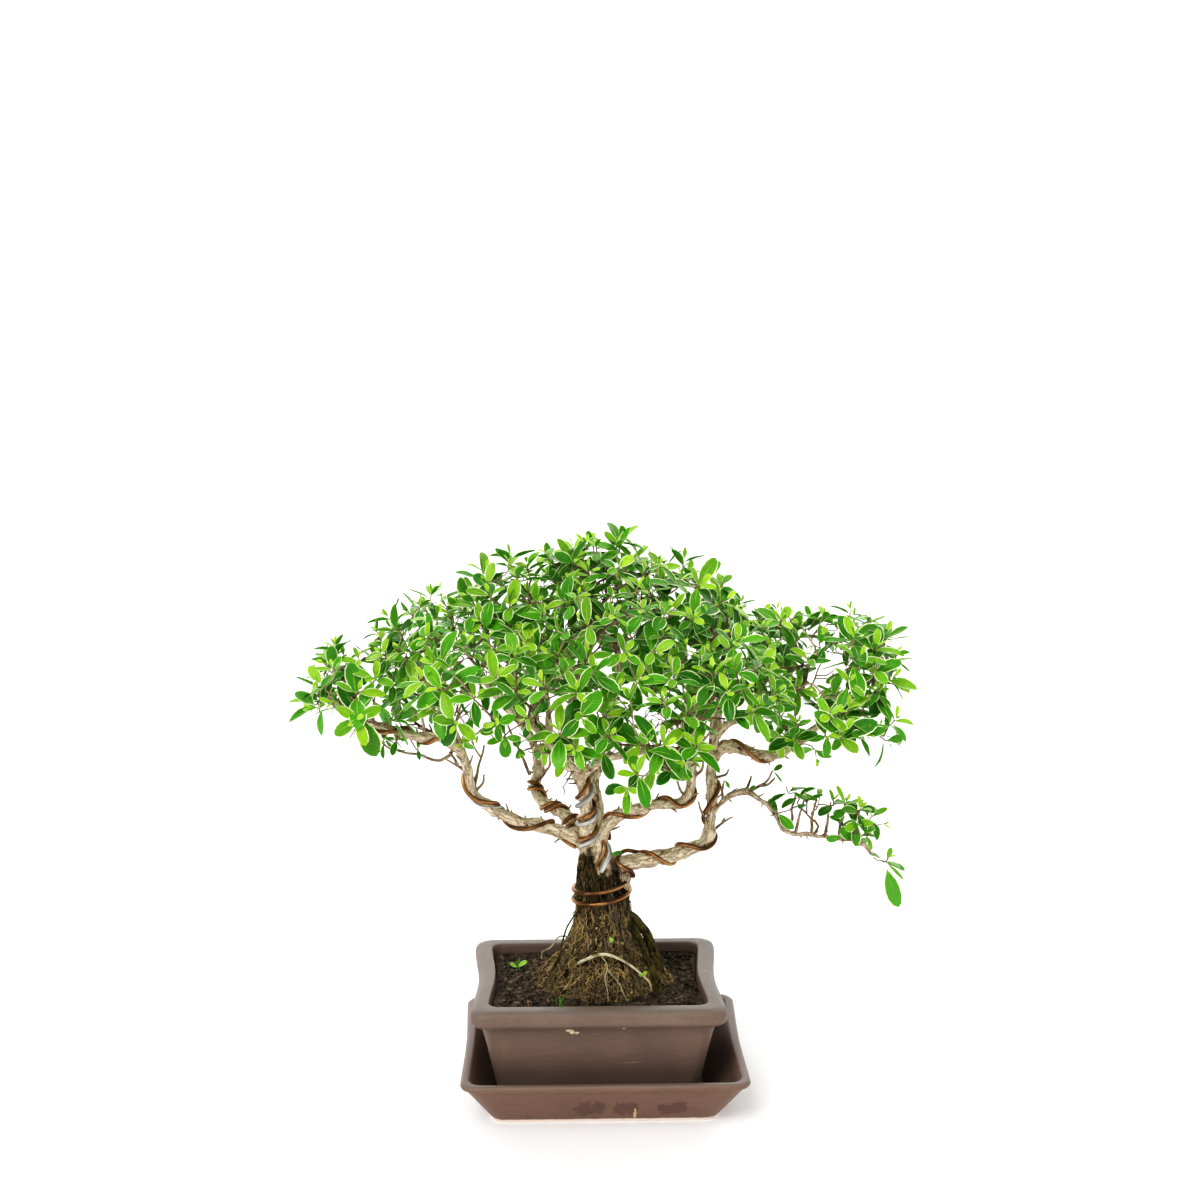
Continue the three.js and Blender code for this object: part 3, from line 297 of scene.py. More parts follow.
class BonsaiClay(bpy.types.PropertyGroup):
    """Glazed clay of the pot and its saucer."""
    pot: colour_property("Pot", "Glaze of the pot", (0.165, 0.115, 0.09))
    saucer: colour_property("Saucer", "Glaze of the drip saucer", (0.178, 0.108, 0.078))
    # Colour of the pale band at the foot of the saucer.
    bare: colour_property("Bare clay", "Unglazed clay at the foot of the saucer", (0.92, 0.78, 0.68))
    # Also the colour of the painted top light on upward faces of the clay.
    dust_and_top_light: colour_property("Dust", "Pale dust on the upper faces", (0.17, 0.153, 0.138))


class BonsaiSoil(bpy.types.PropertyGroup):
    """Soil in the pot."""
    dark: colour_property("Wet soil", "Darkest crumbs", (0.012, 0.0085, 0.006))
    light: colour_property("Dry soil", "Lightest crumbs", (0.21, 0.155, 0.1))
    crumbs: bpy.props.IntProperty(
        name="Crumbs", description="How many loose crumbs lie on top", default=3200, min=0)
    crumb: length_property("Crumb size", "Half width of the largest crumb", 0.0019)


class BonsaiWood(bpy.types.PropertyGroup):
    """Trunk, limbs, roots and moss."""
    bark: colour_property("Bark", "Weathered bark of the limbs", (0.93, 0.77, 0.55))
    # Also the colour of the painted shade on faces of the bark that look downwards.
    shade: colour_property("Bark shade", "Furrows and old bark", (0.46, 0.32, 0.2))
    crown: colour_property("Root crown", "Damp wood of the lower trunk", (0.064, 0.044, 0.017))
    moss: colour_property("Moss", "Moss on the flanks of the trunk", (0.14, 0.145, 0.024))
    relief: length_property("Relief", "Depth of the bark's relief on the trunk", 0.0024)


class BonsaiWire(bpy.types.PropertyGroup):
    """Training wire."""
    copper: colour_property("Copper wire", "Anodised wire", (0.42, 0.225, 0.1))
    silver: colour_property("Bare wire", "Dulled aluminium wire", (0.63, 0.61, 0.58))


class BonsaiLeaves(bpy.types.PropertyGroup):
    """Leaves and the shoots that carry them."""
    green: colour_property("Leaf", "Grown leaf", (0.085, 0.33, 0.008))
    deep: colour_property("Old leaf", "Oldest leaves, inside the crown", (0.018, 0.13, 0.006))
    young: colour_property("Young leaf", "Leaves that have just opened", (0.42, 0.72, 0.02))
    edge: colour_property("Leaf edge", "Cream margin of the leaf", (0.82, 0.91, 0.52))
    length: length_property("Leaf length", "Length of a grown leaf", 0.0186)
    spacing: length_property("Shoot spacing", "Distance between shoots on the outside of the crown", 0.0172)


class BonsaiStage(bpy.types.PropertyGroup):
    """Floor and lights."""
    floor: colour_property("Floor", "Floor that the object stands on", (1, 1, 1))
    key: strength_property("Key light", "Strength of the main soft light", 2.1)
    sky: strength_property("Surroundings", "Light from all round", 0.42)
    wall: strength_property("Backdrop", "Brightness of the backdrop", 1.2)


SETTINGS = {
    "clay": BonsaiClay, "soil": BonsaiSoil, "wood": BonsaiWood, "wire": BonsaiWire,
    "leaves": BonsaiLeaves, "stage": BonsaiStage,
}


def settings(group):
    """The values of one PropertyGroup as they are set in the scene."""
    return getattr(bpy.context.scene, "bonsai_" + group)


# ---------------------------------------------------------------- numbers over space

CORNERS = np.array([(x, y, z) for x in (0, 1) for y in (0, 1) for z in (0, 1)])
HASH_X, HASH_Y, HASH_Z, HASH_SEED, HASH_MIX = 374761393, 668265263, 1442695041, 1013904223, 1274126177
OCTAVES_PEAK = 1.6  # brings a sum of octaves back to about -1 to 1
TINY = 1e-12


def lattice(cell, seed):
    """A fixed number from -1 to 1 for each cell of a grid."""
    mixed = cell[..., 0] * HASH_X + cell[..., 1] * HASH_Y + cell[..., 2] * HASH_Z + seed * HASH_SEED
    mixed = (mixed ^ (mixed >> 13)) * HASH_MIX
    mixed = mixed ^ (mixed >> 16)
    return (mixed & 0xFFFFFF) / 0x7FFFFF - 1


def mottle(points, size, seed):
    """Smooth noise from -1 to 1, in blobs about as wide as size."""
    scaled = np.asarray(points, float) / size
    cell = np.floor(scaled).astype(np.int64)
    part = scaled - cell
    part = part * part * (3 - 2 * part)
    total = 0
    for corner in CORNERS:
        total = total + np.prod(np.where(corner, part, 1 - part), axis=-1) * lattice(cell + corner, seed)
    return total


def grainy(points, size, seed, octaves=3):
    """Mottle with finer and fainter mottle on it."""
    return sum(mottle(points, size / 2 ** k, seed + k) / 2 ** k for k in range(octaves)) / OCTAVES_PEAK


def unit(vectors):
    """Vectors brought to a length of 1."""
    vectors = np.asarray(vectors, float)
    return vectors / np.maximum(np.linalg.norm(vectors, axis=-1, keepdims=True), TINY)


def blend(a, b, t):
    """A at 0, b at 1 and straight between."""
    return a + (b - a) * t


def ease(values, low, high):
    """0 below low, 1 above high and smooth between."""
    t = np.clip((np.asarray(values, float) - low) / (high - low), 0, 1)
    return t * t * (3 - 2 * t)


class Curve:
    """A smooth line through knots of any dimension, measured along its length."""
    PER_SPAN = 24
    STEP = 0.01

    def __init__(self, knots):
        knots = np.asarray(knots, float)
        line = [2 * knots[0] - knots[1], *knots, 2 * knots[-1] - knots[-2]]
        t = np.linspace(0, 1, self.PER_SPAN, endpoint=False)[:, None]
        spans = []
        for p0, p1, p2, p3 in zip(line, line[1:], line[2:], line[3:]):
            d0, d1, d2 = (math.sqrt(np.linalg.norm(b - a)) for a, b in ((p0, p1), (p1, p2), (p2, p3)))
            m1 = ((p1 - p0) / d0 - (p2 - p0) / (d0 + d1) + (p2 - p1) / d1) * d1
            m2 = ((p2 - p1) / d1 - (p3 - p1) / (d1 + d2) + (p3 - p2) / d2) * d1
            spans.append(
                p1 + m1 * t + (3 * (p2 - p1) - 2 * m1 - m2) * t ** 2 + (2 * (p1 - p2) + m1 + m2) * t ** 3)
        self.line = np.vstack([*spans, knots[-1:]])
        self.reach = np.r_[0, np.cumsum(np.linalg.norm(np.diff(self.line, axis=0), axis=1))]
        self.length = self.reach[-1]

    def at(self, share):
        """Points at shares of the length."""
        reach = np.asarray(share, float) * self.length
        return np.stack([np.interp(reach, self.reach, column) for column in self.line.T], -1)

    def heading(self, share):
        """The way that the curve runs at shares of its length."""
        share = np.asarray(share, float)
        return unit(self.at(np.minimum(share + self.STEP, 1)) - self.at(np.maximum(share - self.STEP, 0)))

    def shares(self, step, least=4):
        """Even shares of the length, about a step in millimetres apart."""
        return np.linspace(0, 1, max(least, int(self.length / (step * MM))))


CURVES = {name: Curve(np.array(knots) * MM) for name, (_, _, knots) in LIMBS.items()}
TRUNK_CURVE = Curve(np.array(TRUNK_LINE) * MM)
TRUNK_LEVELS = Curve(np.array(TRUNK) * MM)


# ---------------------------------------------------------------- meshes

class Mould:
    """Gathers points, faces and named values for the points, and casts them as one mesh object."""

    def __init__(self):
        self.points, self.faces, self.finish_of, self.values, self.count = [], [], [], {}, 0

    def add(self, points, faces, finish=0, **values):
        """Takes points, groups of faces and values, each one for all points or one for each."""
        points = np.asarray(points, float).reshape(-1, 3)
        for corners in faces:
            corners = np.asarray(corners, np.int64)
            self.faces.append(corners + self.count)
            self.finish_of.append(np.full(len(corners), finish))
        for name, value in values.items():
            value = np.asarray(value, float)
            shape = (len(points), 3) if value.ndim == 2 else len(points)
            self.values.setdefault(name, []).append((self.count, np.broadcast_to(value, shape)))
        self.points.append(points)
        self.count += len(points)

    def cast(self, name, finishes, sharp=50):
        """The mesh object. Edges that turn by more than sharp degrees stay hard."""
        mesh = bpy.data.meshes.new(name)
        corners = np.concatenate([faces.ravel() for faces in self.faces])
        widths = np.concatenate([np.full(len(faces), faces.shape[1]) for faces in self.faces])
        mesh.vertices.add(self.count)
        mesh.vertices.foreach_set("co", np.vstack(self.points).ravel())
        mesh.loops.add(len(corners))
        mesh.loops.foreach_set("vertex_index", corners)
        mesh.polygons.add(len(widths))
        mesh.polygons.foreach_set("loop_start", np.r_[0, np.cumsum(widths)[:-1]])
        for finish in finishes:
            mesh.materials.append(finish)
        mesh.polygons.foreach_set("material_index", np.concatenate(self.finish_of))
        mesh.update(calc_edges=True)
        for key, parts in self.values.items():
            self._store(mesh, key, parts)
        mesh.shade_smooth()
        mesh.set_sharp_from_angle(angle=math.radians(sharp))
        made = bpy.data.objects.new(name, mesh)
        bpy.context.scene.collection.objects.link(made)
        return made

    def _store(self, mesh, key, parts):
        """Keeps a value on the mesh, 0 where a part of it has none."""
        wide = parts[0][1].ndim == 2
        whole = np.zeros((self.count, 3) if wide else self.count)
        for start, value in parts:
            whole[start:start + len(value)] = value
        kind, field = ("FLOAT_VECTOR", "vector") if wide else ("FLOAT", "value")
        mesh.attributes.new(key, kind, "POINT").data.foreach_set(field, whole.astype(np.float32).ravel())


def ring_faces(rings, sides, first=0):
    """Faces between rings of points that lie one after another."""
    ring, side = np.meshgrid(np.arange(rings - 1), np.arange(sides), indexing="ij")
    here = first + ring * sides + side
    beside = first + ring * sides + (side + 1) % sides
    return np.stack([here, beside, beside + sides, here + sides], -1).reshape(-1, 4)


def cap_faces(start, sides, tip, outwards):
    """Faces from one ring of points to a single one."""
    side = np.arange(sides)
    here, beside = start + side, start + (side + 1) % sides
    pair = (beside, here) if outwards else (here, beside)
    return np.stack([*pair, np.full(sides, tip)], -1)


def closed_rings(rings, bottom, top):
    """Points and faces of a body made of rings, shut by one point at either end."""
    count, sides, _ = rings.shape
    points = np.vstack([rings.reshape(-1, 3), bottom, top])
    faces = [
        ring_faces(count, sides),
        cap_faces(0, sides, count * sides, True),
        cap_faces((count - 1) * sides, sides, count * sides + 1, False),
    ]
    return points, faces


def crossways(line):
    """Two directions square to a line at each of its points, carried along it without needless turning."""
    along = unit(np.gradient(line, axis=0))
    start = unit(np.cross(along[0], UP if abs(along[0] @ UP) < 0.9 else FRONT))
    across = [start]
    for way in along[1:]:
        across.append(unit(across[-1] - way * (across[-1] @ way)))
    across = np.array(across)
    return across, np.cross(along, across)


def tube(line, radii, sides, relief=None):
    """A round bar along a line. Gives its points, faces and grain, which runs along it without a seam."""
    line, radii = np.asarray(line, float), np.broadcast_to(radii, len(line)).astype(float)
    across, over = crossways(line)
    turn = np.arange(sides) * 2 * math.pi / sides
    reach = np.r_[0, np.cumsum(np.linalg.norm(np.diff(line, axis=0), axis=1))]
    circle = np.stack([np.cos(turn), np.sin(turn)], -1)
    along = np.broadcast_to(reach[:, None, None], (len(line), sides, 1))
    grain = np.concatenate([radii[:, None, None] * circle[None], along], -1)
    swell = radii[:, None] + (relief(grain) if relief else 0)
    out = circle[None, :, 0, None] * across[:, None] + circle[None, :, 1, None] * over[:, None]
    rings = line[:, None] + swell[..., None] * out
    points, faces = closed_rings(rings, line[0], line[-1])
    ends = np.array([[0, 0, reach[0]], [0, 0, reach[-1]]])
    return points, faces, np.vstack([grain.reshape(-1, 3), ends])


def add_tube(mould, line, radii, sides, relief=None, finish=0, **values):
    """Adds a tube and its grain to a mould. A value may be a function of the tube's points."""
    points, faces, grain = tube(line, radii, sides, relief)
    values = {name: value(points) if callable(value) else value for name, value in values.items()}
    mould.add(points, faces, finish, grain=grain, **values)


# ---------------------------------------------------------------- finishes

class Value:
    """The output of a shader node. Arithmetic on it adds Math nodes."""

    def __init__(self, finish, socket):
        self.finish, self.socket = finish, socket

    def maths(self, operation, *terms):
        return self.finish.node("ShaderNodeMath", {"operation": operation}, dict(enumerate(terms)))

    def __add__(self, other):
        return self.maths("ADD", self, other)

    def __sub__(self, other):
        return self.maths("SUBTRACT", self, other)

    def __rsub__(self, other):
        return self.maths("SUBTRACT", other, self)

    def __mul__(self, other):
        return self.maths("MULTIPLY", self, other)

    def __abs__(self):
        return self.maths("ABSOLUTE", self)

    __radd__ = __add__
    __rmul__ = __mul__

    def most(self, other):
        return self.maths("MAXIMUM", self, other)

    def ease(self, low, high):
        """0 at low, 1 at high and smooth between. Low may be above high."""
        return self.finish.node(
            "ShaderNodeMapRange", {"interpolation_type": "SMOOTHSTEP"},
            {"Value": self, "From Min": low, "From Max": high})


class Finish:
    """A material being made. Its constants are set on the shader's own sockets."""

    def __init__(self, name, **constants):
        self.material = bpy.data.materials.new(name)
        self.material.use_nodes = True
        self.tree = self.material.node_tree
        self.shader = self.tree.nodes["Principled BSDF"]
        for socket, value in constants.items():
            self.feed(self.shader.inputs[socket.replace("_", " ")], value)

    def feed(self, socket, value):
        """Links a value to a socket, or sets a constant on it."""
        if isinstance(value, Value):
            self.tree.links.new(value.socket, socket)
        elif getattr(socket, "type", "") == "RGBA":
            socket.default_value = (*value, 1)
        else:
            socket.default_value = value

    def node(self, kind, options=None, sockets=None, output=0):
        """One more node: its settings, the values or links of its sockets, and the output that it gives."""
        made = self.tree.nodes.new(kind)
        for key, option in (options or {}).items():
            setattr(made, key, option)
        for key, value in (sockets or {}).items():
            self.feed(made.inputs[key], value)
        return Value(self, made.outputs[output])

    def stored(self, name, output="Fac"):
        """A value kept on the mesh."""
        return self.node("ShaderNodeAttribute", {"attribute_name": name}, output=output)

    def place(self):
        return self.node("ShaderNodeTexCoord", output="Object")

    def stretched(self, vector, by):
        return self.node("ShaderNodeVectorMath", {"operation": "MULTIPLY"}, {0: vector, 1: by})

    def part(self, vector, axis):
        return self.node("ShaderNodeSeparateXYZ", sockets={0: vector}, output=axis)

    def noise(self, vector, size, detail=3, roughness=0.55):
        return self.node("ShaderNodeTexNoise", sockets={
            "Vector": vector, "Scale": 1 / size, "Detail": detail, "Roughness": roughness})

    def mix(self, share, a, b):
        return self.node("ShaderNodeMix", {"data_type": "RGBA"}, {0: share, 6: a, 7: b}, output=2)

    def dim(self, colour, by):
        """A colour made darker or lighter by a varying amount."""
        return self.node("ShaderNodeVectorMath", {"operation": "SCALE"}, {0: colour, "Scale": by})

    def bump(self, height, depth, strength):
        self.feed(self.shader.inputs["Normal"], self.node(
            "ShaderNodeBump", sockets={"Height": height, "Distance": depth, "Strength": strength}))

    def done(self, colour, roughness=None):
        """The material, with its colour and roughness."""
        self.feed(self.shader.inputs["Base Color"], colour)
        if roughness is not None:
            self.feed(self.shader.inputs["Roughness"], roughness)
        return self.material


def clay_finish(name, colour, dust_and_top_light, shown=()):
    """Brown glaze over clay: cloudy, finely pitted, paler on upper faces with dust and painted top light."""
    clay = Finish(name, IOR=1.45, Specular_IOR_Level=0.4, Coat_Weight=0.1, Coat_Roughness=0.3)
    place = clay.place()
    cloud = clay.noise(place, 0.03, detail=4)
    fine = clay.noise(place, 0.0012, detail=2)
    specks = clay.noise(place, 0.0022, detail=1).ease(0.68, 0.74)
    # Upward faces are made paler, partly with dust and partly with painted top light; they are mixed in
    # below.
    facing = clay.part(clay.node("ShaderNodeNewGeometry", output="Normal"), "Z").ease(0.35, 1)
    bands = clay.noise(clay.stretched(place, (0.12, 0.12, 1)), 0.0016, detail=3)
    body = clay.dim(colour, 0.66 + cloud * 0.4 + bands * 0.28)
    body = clay.mix(facing * (0.3 + 0.5 * cloud), body, dust_and_top_light)
    body = clay.mix(specks * 0.35, body, [c * 0.45 for c in colour])
    roughness = 0.46 + fine * 0.16
    for mask, shade, gloss in (mark(clay, place) for mark in shown):
        body = clay.mix(mask, body, shade)
        roughness = roughness + mask * gloss
    clay.bump(fine + cloud * 1.5, 0.00025, 0.5)
    return clay.done(body, roughness)


SPOT_RAG = 1.6


def spot(finish, place, middle, reach):
    """A ragged spot: 1 in the middle and 0 outside. Middle and reach are in millimetres."""
    away = finish.node(
        "ShaderNodeVectorMath", {"operation": "SUBTRACT"}, {0: place, 1: [c * MM for c in middle]})
    away = finish.stretched(away, [1 / (r * MM) for r in reach])
    size = finish.node("ShaderNodeVectorMath", {"operation": "LENGTH"}, {0: away}, output="Value")
    rag = finish.noise(place, 0.0035, detail=3)
    return (size + (rag - 0.5) * SPOT_RAG).ease(1, 0.86)


def spots(middles, shade, gloss, strength):
    """Spots of one shade. Gives a mark: a function for the mask, the shade and the change of roughness."""
    def mark(finish, place):
        masks = [spot(finish, place, middle, reach) for middle, reach in middles]
        return functools.reduce(Value.most, masks) * strength, shade, gloss
    return mark


def painted_shade_inside(colour, level):
    """Painted shade on the inner walls, which lean outwards, below a level."""
    def mark(finish, place):
        inner = finish.part(finish.node("ShaderNodeNewGeometry", output="Normal"), "Z").ease(0.1, 0.3)
        rag = (finish.noise(place, 0.008) - 0.5) * 0.003
        return (finish.part(place, "Z") + rag).ease(level, level - 0.004) * inner * 0.5, colour, -0.1
    return mark


def pale_foot_band(colour, height):
    """A pale band below a height."""
    def mark(finish, place):
        level = finish.part(place, "Z") + (finish.noise(place, 0.006) - 0.5) * 0.0012
        return level.ease(height, height * 0.6), colour, 0.2
    return mark


@functools.cache
def bark_finish():
    """Bark: dry and cracked on limbs with painted shade on faces that look downwards, dark where damp, green
    with moss, pale on roots, plain on twigs.
    """
    look = settings("wood")
    bark = Finish("bark_rough", IOR=1.4, Specular_IOR_Level=0.25)
    grain = bark.stored("grain", "Vector")
    long_grain = bark.stretched(grain, (1, 1, 0.2))
    furrows = bark.noise(long_grain, 0.0011, detail=4, roughness=0.62)
    plates = bark.noise(grain, 0.0045, detail=3)
    cracks = abs(bark.noise(long_grain, 0.0021, detail=4, roughness=0.6) - 0.5).ease(0.05, 0.012)
    flecks = bark.noise(grain, 0.0013, detail=2).ease(0.63, 0.69)
    # Mask for painted shade on faces that look downwards.
    below = bark.part(bark.node("ShaderNodeNewGeometry", output="Normal"), "Z").ease(0.1, -0.9)
    damp, moss, pale, twig = (bark.stored(name) for name in ("damp", "moss", "pale", "twig"))
    dry = bark.mix((furrows * 1.3 + plates * 0.7 - 0.55).ease(0.1, 0.5), look.shade, look.bark)
    dry = bark.mix(plates.ease(0.52, 0.7) * 0.5, dry, [min(1, c * 1.2) for c in look.bark])
    dry = bark.mix(cracks * 0.45, dry, (0.09, 0.052, 0.03))
    dry = bark.mix(flecks * 0.75, dry, (0.05, 0.03, 0.015))
    dry = bark.mix(plates.ease(0.42, 0.33) * 0.45, dry, (0.2, 0.13, 0.065))
    # Painted shade: downward faces are mixed towards the bark shade colour.
    dry = bark.mix(below * 0.35, dry, look.shade)
    thin = bark.mix(furrows.ease(0.35, 0.65), (0.11, 0.066, 0.038), (0.38, 0.265, 0.17))
    dry = bark.mix(twig, dry, thin)
    wet = bark.mix(furrows.ease(0.42, 0.7), [c * 0.16 for c in look.crown], [c * 2.4 for c in look.crown])
    wet = bark.mix(plates.ease(0.52, 0.68) * 0.75, wet, (0.15, 0.09, 0.034))
    wet = bark.mix(bark.noise(grain, 0.0027, detail=3).ease(0.6, 0.68) * 0.6, wet, (0.27, 0.19, 0.07))
    body = bark.mix(damp, dry, wet)
    green = bark.mix(furrows, [c * 0.3 for c in look.moss], [c * 1.6 for c in look.moss])
    body = bark.mix(moss * plates.ease(0.36, 0.6), body, green)
    body = bark.mix(pale, body, bark.mix(furrows.ease(0.3, 0.6), (0.5, 0.42, 0.18), (0.92, 0.86, 0.64)))
    bark.bump(furrows * 1.2 + plates - cracks * 0.6, 0.001, 0.9)
    return bark.done(body, 0.92 - furrows * 0.2)


def leaf_finish():
    """Leaf with a cream margin and a pale middle vein, duller below."""
    look = settings("leaves")
    leaf = Finish("leaf", IOR=1.42, Specular_IOR_Level=0.3, Coat_Weight=0.1, Coat_Roughness=0.25,
                  Subsurface_Weight=0.12, Subsurface_Radius=(0.4, 1.0, 0.1), Subsurface_Scale=0.0009)
    across, along, youth, tone, under = (
        leaf.stored(name) for name in ("across", "along", "youth", "tone", "under"))
    off = abs(across)
    grain = leaf.stored("grain", "Vector")
    mottled = leaf.noise(grain, 0.0035, detail=2)
    body = leaf.mix(tone, look.deep, look.green)
    body = leaf.mix(youth, body, look.young)
    body = leaf.dim(body, 0.72 + mottled * 0.56)
    waves = leaf.node("ShaderNodeMath", {"operation": "SINE"}, {0: along * 62 - off * 16})
    veins = waves.ease(0.55, 1) * off.ease(0.92, 0.7)
    body = leaf.mix(veins * 0.12, body, look.young)
    middle = off.ease(0.13, 0.02) * along.ease(0.8, 0.1)
    body = leaf.mix(middle * 0.7, body, [c * 0.8 + e * 0.2 for c, e in zip(look.young, look.edge)])
    body = leaf.mix(along.ease(0.2, 0.02) * 0.7, body, look.young)
    ragged = (leaf.noise(grain, 0.0024, detail=2) - 0.5) * 0.12
    body = leaf.mix((off + ragged).ease(0.83, 0.91), body, look.edge)
    body = leaf.mix(under.ease(0.5, 0.9) * 0.75, body, [c * 0.85 + 0.03 for c in look.green])
    leaf.bump(veins * -0.6 + middle * -1.0 + mottled * 0.5, 0.0003, 0.6)
    return leaf.done(body, 0.34 + under * 0.25 + mottled * 0.12)


def metal_finish(name, colour, dark, roughness):
    """Anodised wire: drawn lengthwise, with darker worn stretches."""
    metal = Finish(name, Metallic=0.88, Specular_IOR_Level=0.5)
    grain = metal.stored("grain", "Vector")
    drawn = metal.noise(metal.stretched(grain, (1, 1, 0.05)), 0.0006, detail=2)
    worn = metal.noise(metal.stretched(grain, (1, 1, 0.3)), 0.005, detail=3).ease(0.4, 0.62)
    body = metal.mix(worn * 0.88, colour, dark)
    metal.bump(drawn, 0.0001, 0.4)
    return metal.done(body, roughness + worn * 0.2 + drawn * 0.1)


def soil_finish():
    """Soil in dark and light chunks."""
    look = settings("soil")
    soil = Finish("soil", IOR=1.35)
    place = soil.place()
    tone = soil.stored("tone")
    chunks = soil.noise(place, 0.0042, detail=5, roughness=0.7)
    body = soil.mix(chunks.ease(0.38, 0.75) * 0.45 + tone * 0.7, look.dark, look.light)
    body = soil.mix(soil.noise(place, 0.0011, detail=2).ease(0.66, 0.75) * 0.5, body, (0.24, 0.15, 0.1))
    soil.bump(chunks, 0.002, 0.9)
    return soil.done(body, 0.93)


def tuft_finish(name, dark, light):
    """Small growth and fibres in two shades."""
    tuft = Finish(name, IOR=1.4)
    tone = tuft.stored("tone")
    cloud = tuft.noise(tuft.place(), 0.004, detail=2)
    return tuft.done(tuft.mix(tone * 0.7 + cloud * 0.4, dark, light), 0.7 + cloud * 0.1)


def floor_finish():
    """Plain matt floor."""
    look = settings("stage")
    floor = Finish("floor", Specular_IOR_Level=0.1)
    return floor.done(floor.dim(look.floor, 0.99 + floor.noise(floor.place(), 0.4) * 0.02), 0.9)


def settle(piece, slot, *nodes):
    """Makes a piece ride with the object and hides the nodes that it stands for. The slot is not used."""
    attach(piece, "root")
    if nodes:
        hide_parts(*nodes)


# ---------------------------------------------------------------- pot, saucer and soil

CORNER_STEPS = 12
SIDE_STEPS = 26
QUARTER_SIGNS = [(1, 1), (-1, 1), (-1, -1), (1, -1)]
TURN_SHARE = 0.32  # how far a turn of a profile is eased towards its neighbours
TURN_STEPS = 5
BEVEL = 1.2


def outline_tags():
    """Where each point of an outline lies: its quarter, its angle, and how far along the side to the next."""
    tags = []
    for quarter in range(4):
        tags += [
            (quarter, (quarter + step / CORNER_STEPS) * math.pi / 2, 0) for step in range(CORNER_STEPS + 1)]
        tags += [(quarter, (quarter + 1) * math.pi / 2, step / SIDE_STEPS) for step in range(1, SIDE_STEPS)]
    return tags


OUTLINE = outline_tags()


def corner_point(x, y, corner, quarter, angle):
    """A point on one rounded corner of a rectangle."""
    radius = min(corner, x, y)
    sign_x, sign_y = QUARTER_SIGNS[quarter]
    return np.array([
        sign_x * (x - radius) + radius * math.cos(angle), sign_y * (y - radius) + radius * math.sin(angle)])


def outline(ring):
    """A rounded rectangle, its short sides drawn in. Ring: half sizes, height, corner radius, waist."""
    x, y, z, corner, waist = ring
    points = []
    for quarter, angle, along in OUTLINE:
        place = corner_point(x, y, corner, quarter, angle)
        if along:
            place = blend(place, corner_point(x, y, corner, (quarter + 1) % 4, angle), along)
        draw_in = waist * (1 + math.cos(math.pi * place[1] / y)) / 2 if y > 0 else 0
        points.append((place[0] - math.copysign(draw_in, place[0]), place[1], z))
    return np.array(points)


def rounded(rings):
    """The profile with each of its turns eased by a short curve."""
    rings = [np.array(ring, float) for ring in rings]
    eased = [rings[0]]
    for before, here, after in zip(rings, rings[1:], rings[2:]):
        start, end = blend(here, before, TURN_SHARE), blend(here, after, TURN_SHARE)
        for t in np.linspace(0, 1, TURN_STEPS):
            eased.append(blend(blend(start, here, t), blend(here, end, t), t))
    return [*eased, rings[-1]]


def lathed(rings, low, high, shift=(0, 0, 0)):
    """A body through outlines, shut at two middle points."""
    body = np.array([outline(ring) for ring in rings]) * MM + np.array(shift) * MM
    ends = [np.array([[shift[0], shift[1], z + shift[2]]]) * MM for z in (low, high)]
    return closed_rings(body, *ends)


def saucer_rings():
    """The saucer's profile, from the middle of its underside over the rim to the middle of its floor."""
    width, depth, height = SAUCER["width"], SAUCER["depth"], SAUCER["height"]
    base_x, base_y = (size / 2 for size in SAUCER["base"])
    x, y, wall, floor, waist = width / 2, depth / 2, SAUCER["wall"], SAUCER["floor"], SAUCER["waist"]
    belly_x, belly_y = (blend(a, b, 0.45) for a, b in ((base_x, x - 2.2), (base_y, y - 2.2)))
    inner = [(base_x * s, base_y * s, floor, 3, waist * s / 2) for s in (0.5, 0.8)]
    return [
        (base_x * 0.5, base_y * 0.5, 0, 3, 0), (base_x - 1, base_y - 1, 0, 9, waist / 2),
        (base_x, base_y, 0.05, 9, waist / 2), (base_x + 0.8, base_y + 0.8, 1.6, 9, waist / 2),
        (belly_x, belly_y, height * 0.37, 11, waist), (x - 3.5, y - 3.5, height - 6, 9, waist),
        (x - 2.8, y - 2.8, height - 4.6, 9, waist), (x - 0.4, y - 0.4, height - 3.6, 10, waist),
        (x, y, height - 1.7, 10, waist), (x - 1.5, y - 1.5, height, 10, waist),
        (x - wall, y - wall, height - 0.3, 8, waist), (x - wall - 1.4, y - wall - 1.4, height - 2, 7, waist),
        (base_x - wall + 0.6, base_y - wall + 0.6, floor + 1.2, 5, waist / 2),
        (base_x - wall - 1.4, base_y - wall - 1.4, floor, 4, waist / 2), *reversed(inner),
    ]


POT_LIFT = SAUCER["floor"] + FIT
POT_HEIGHT = POT["rim_top"] - POT_LIFT
POT_BODY_X = POT["width"] / 2 - POT["overhang"]
POT_BODY_Y = POT["depth"] / 2 - POT["overhang"]
POT_FLOOR_TOP = POT["foot"] + POT["floor"]
POT_AT = (POT["shift"], 0, POT_LIFT)
FOOT_SIZE = (20, 15)
FOOT_INSET = (17, 14)
FOOT_SUNK = 2  # how far a foot reaches into the pot's floor
DRILL_PAST = 6
DRILL_SIDES = 40


def pot_inside(z, allowance=0):
    """The pot's inner outline at a height above its feet, drawn in by an allowance."""
    t = (z - POT_FLOOR_TOP) / (POT_HEIGHT - 1.4 - POT_FLOOR_TOP)
    x = blend(POT_BODY_X - POT["taper"] - 4, POT_BODY_X - POT["wall"] + 0.8, t) - allowance
    y = blend(POT_BODY_Y - POT["taper"] - 4, POT_BODY_Y - POT["wall"] + 0.8, t) - allowance
    return x, y, z, blend(6, 7, t), POT["waist"] * blend(0.56, 0.74, t)


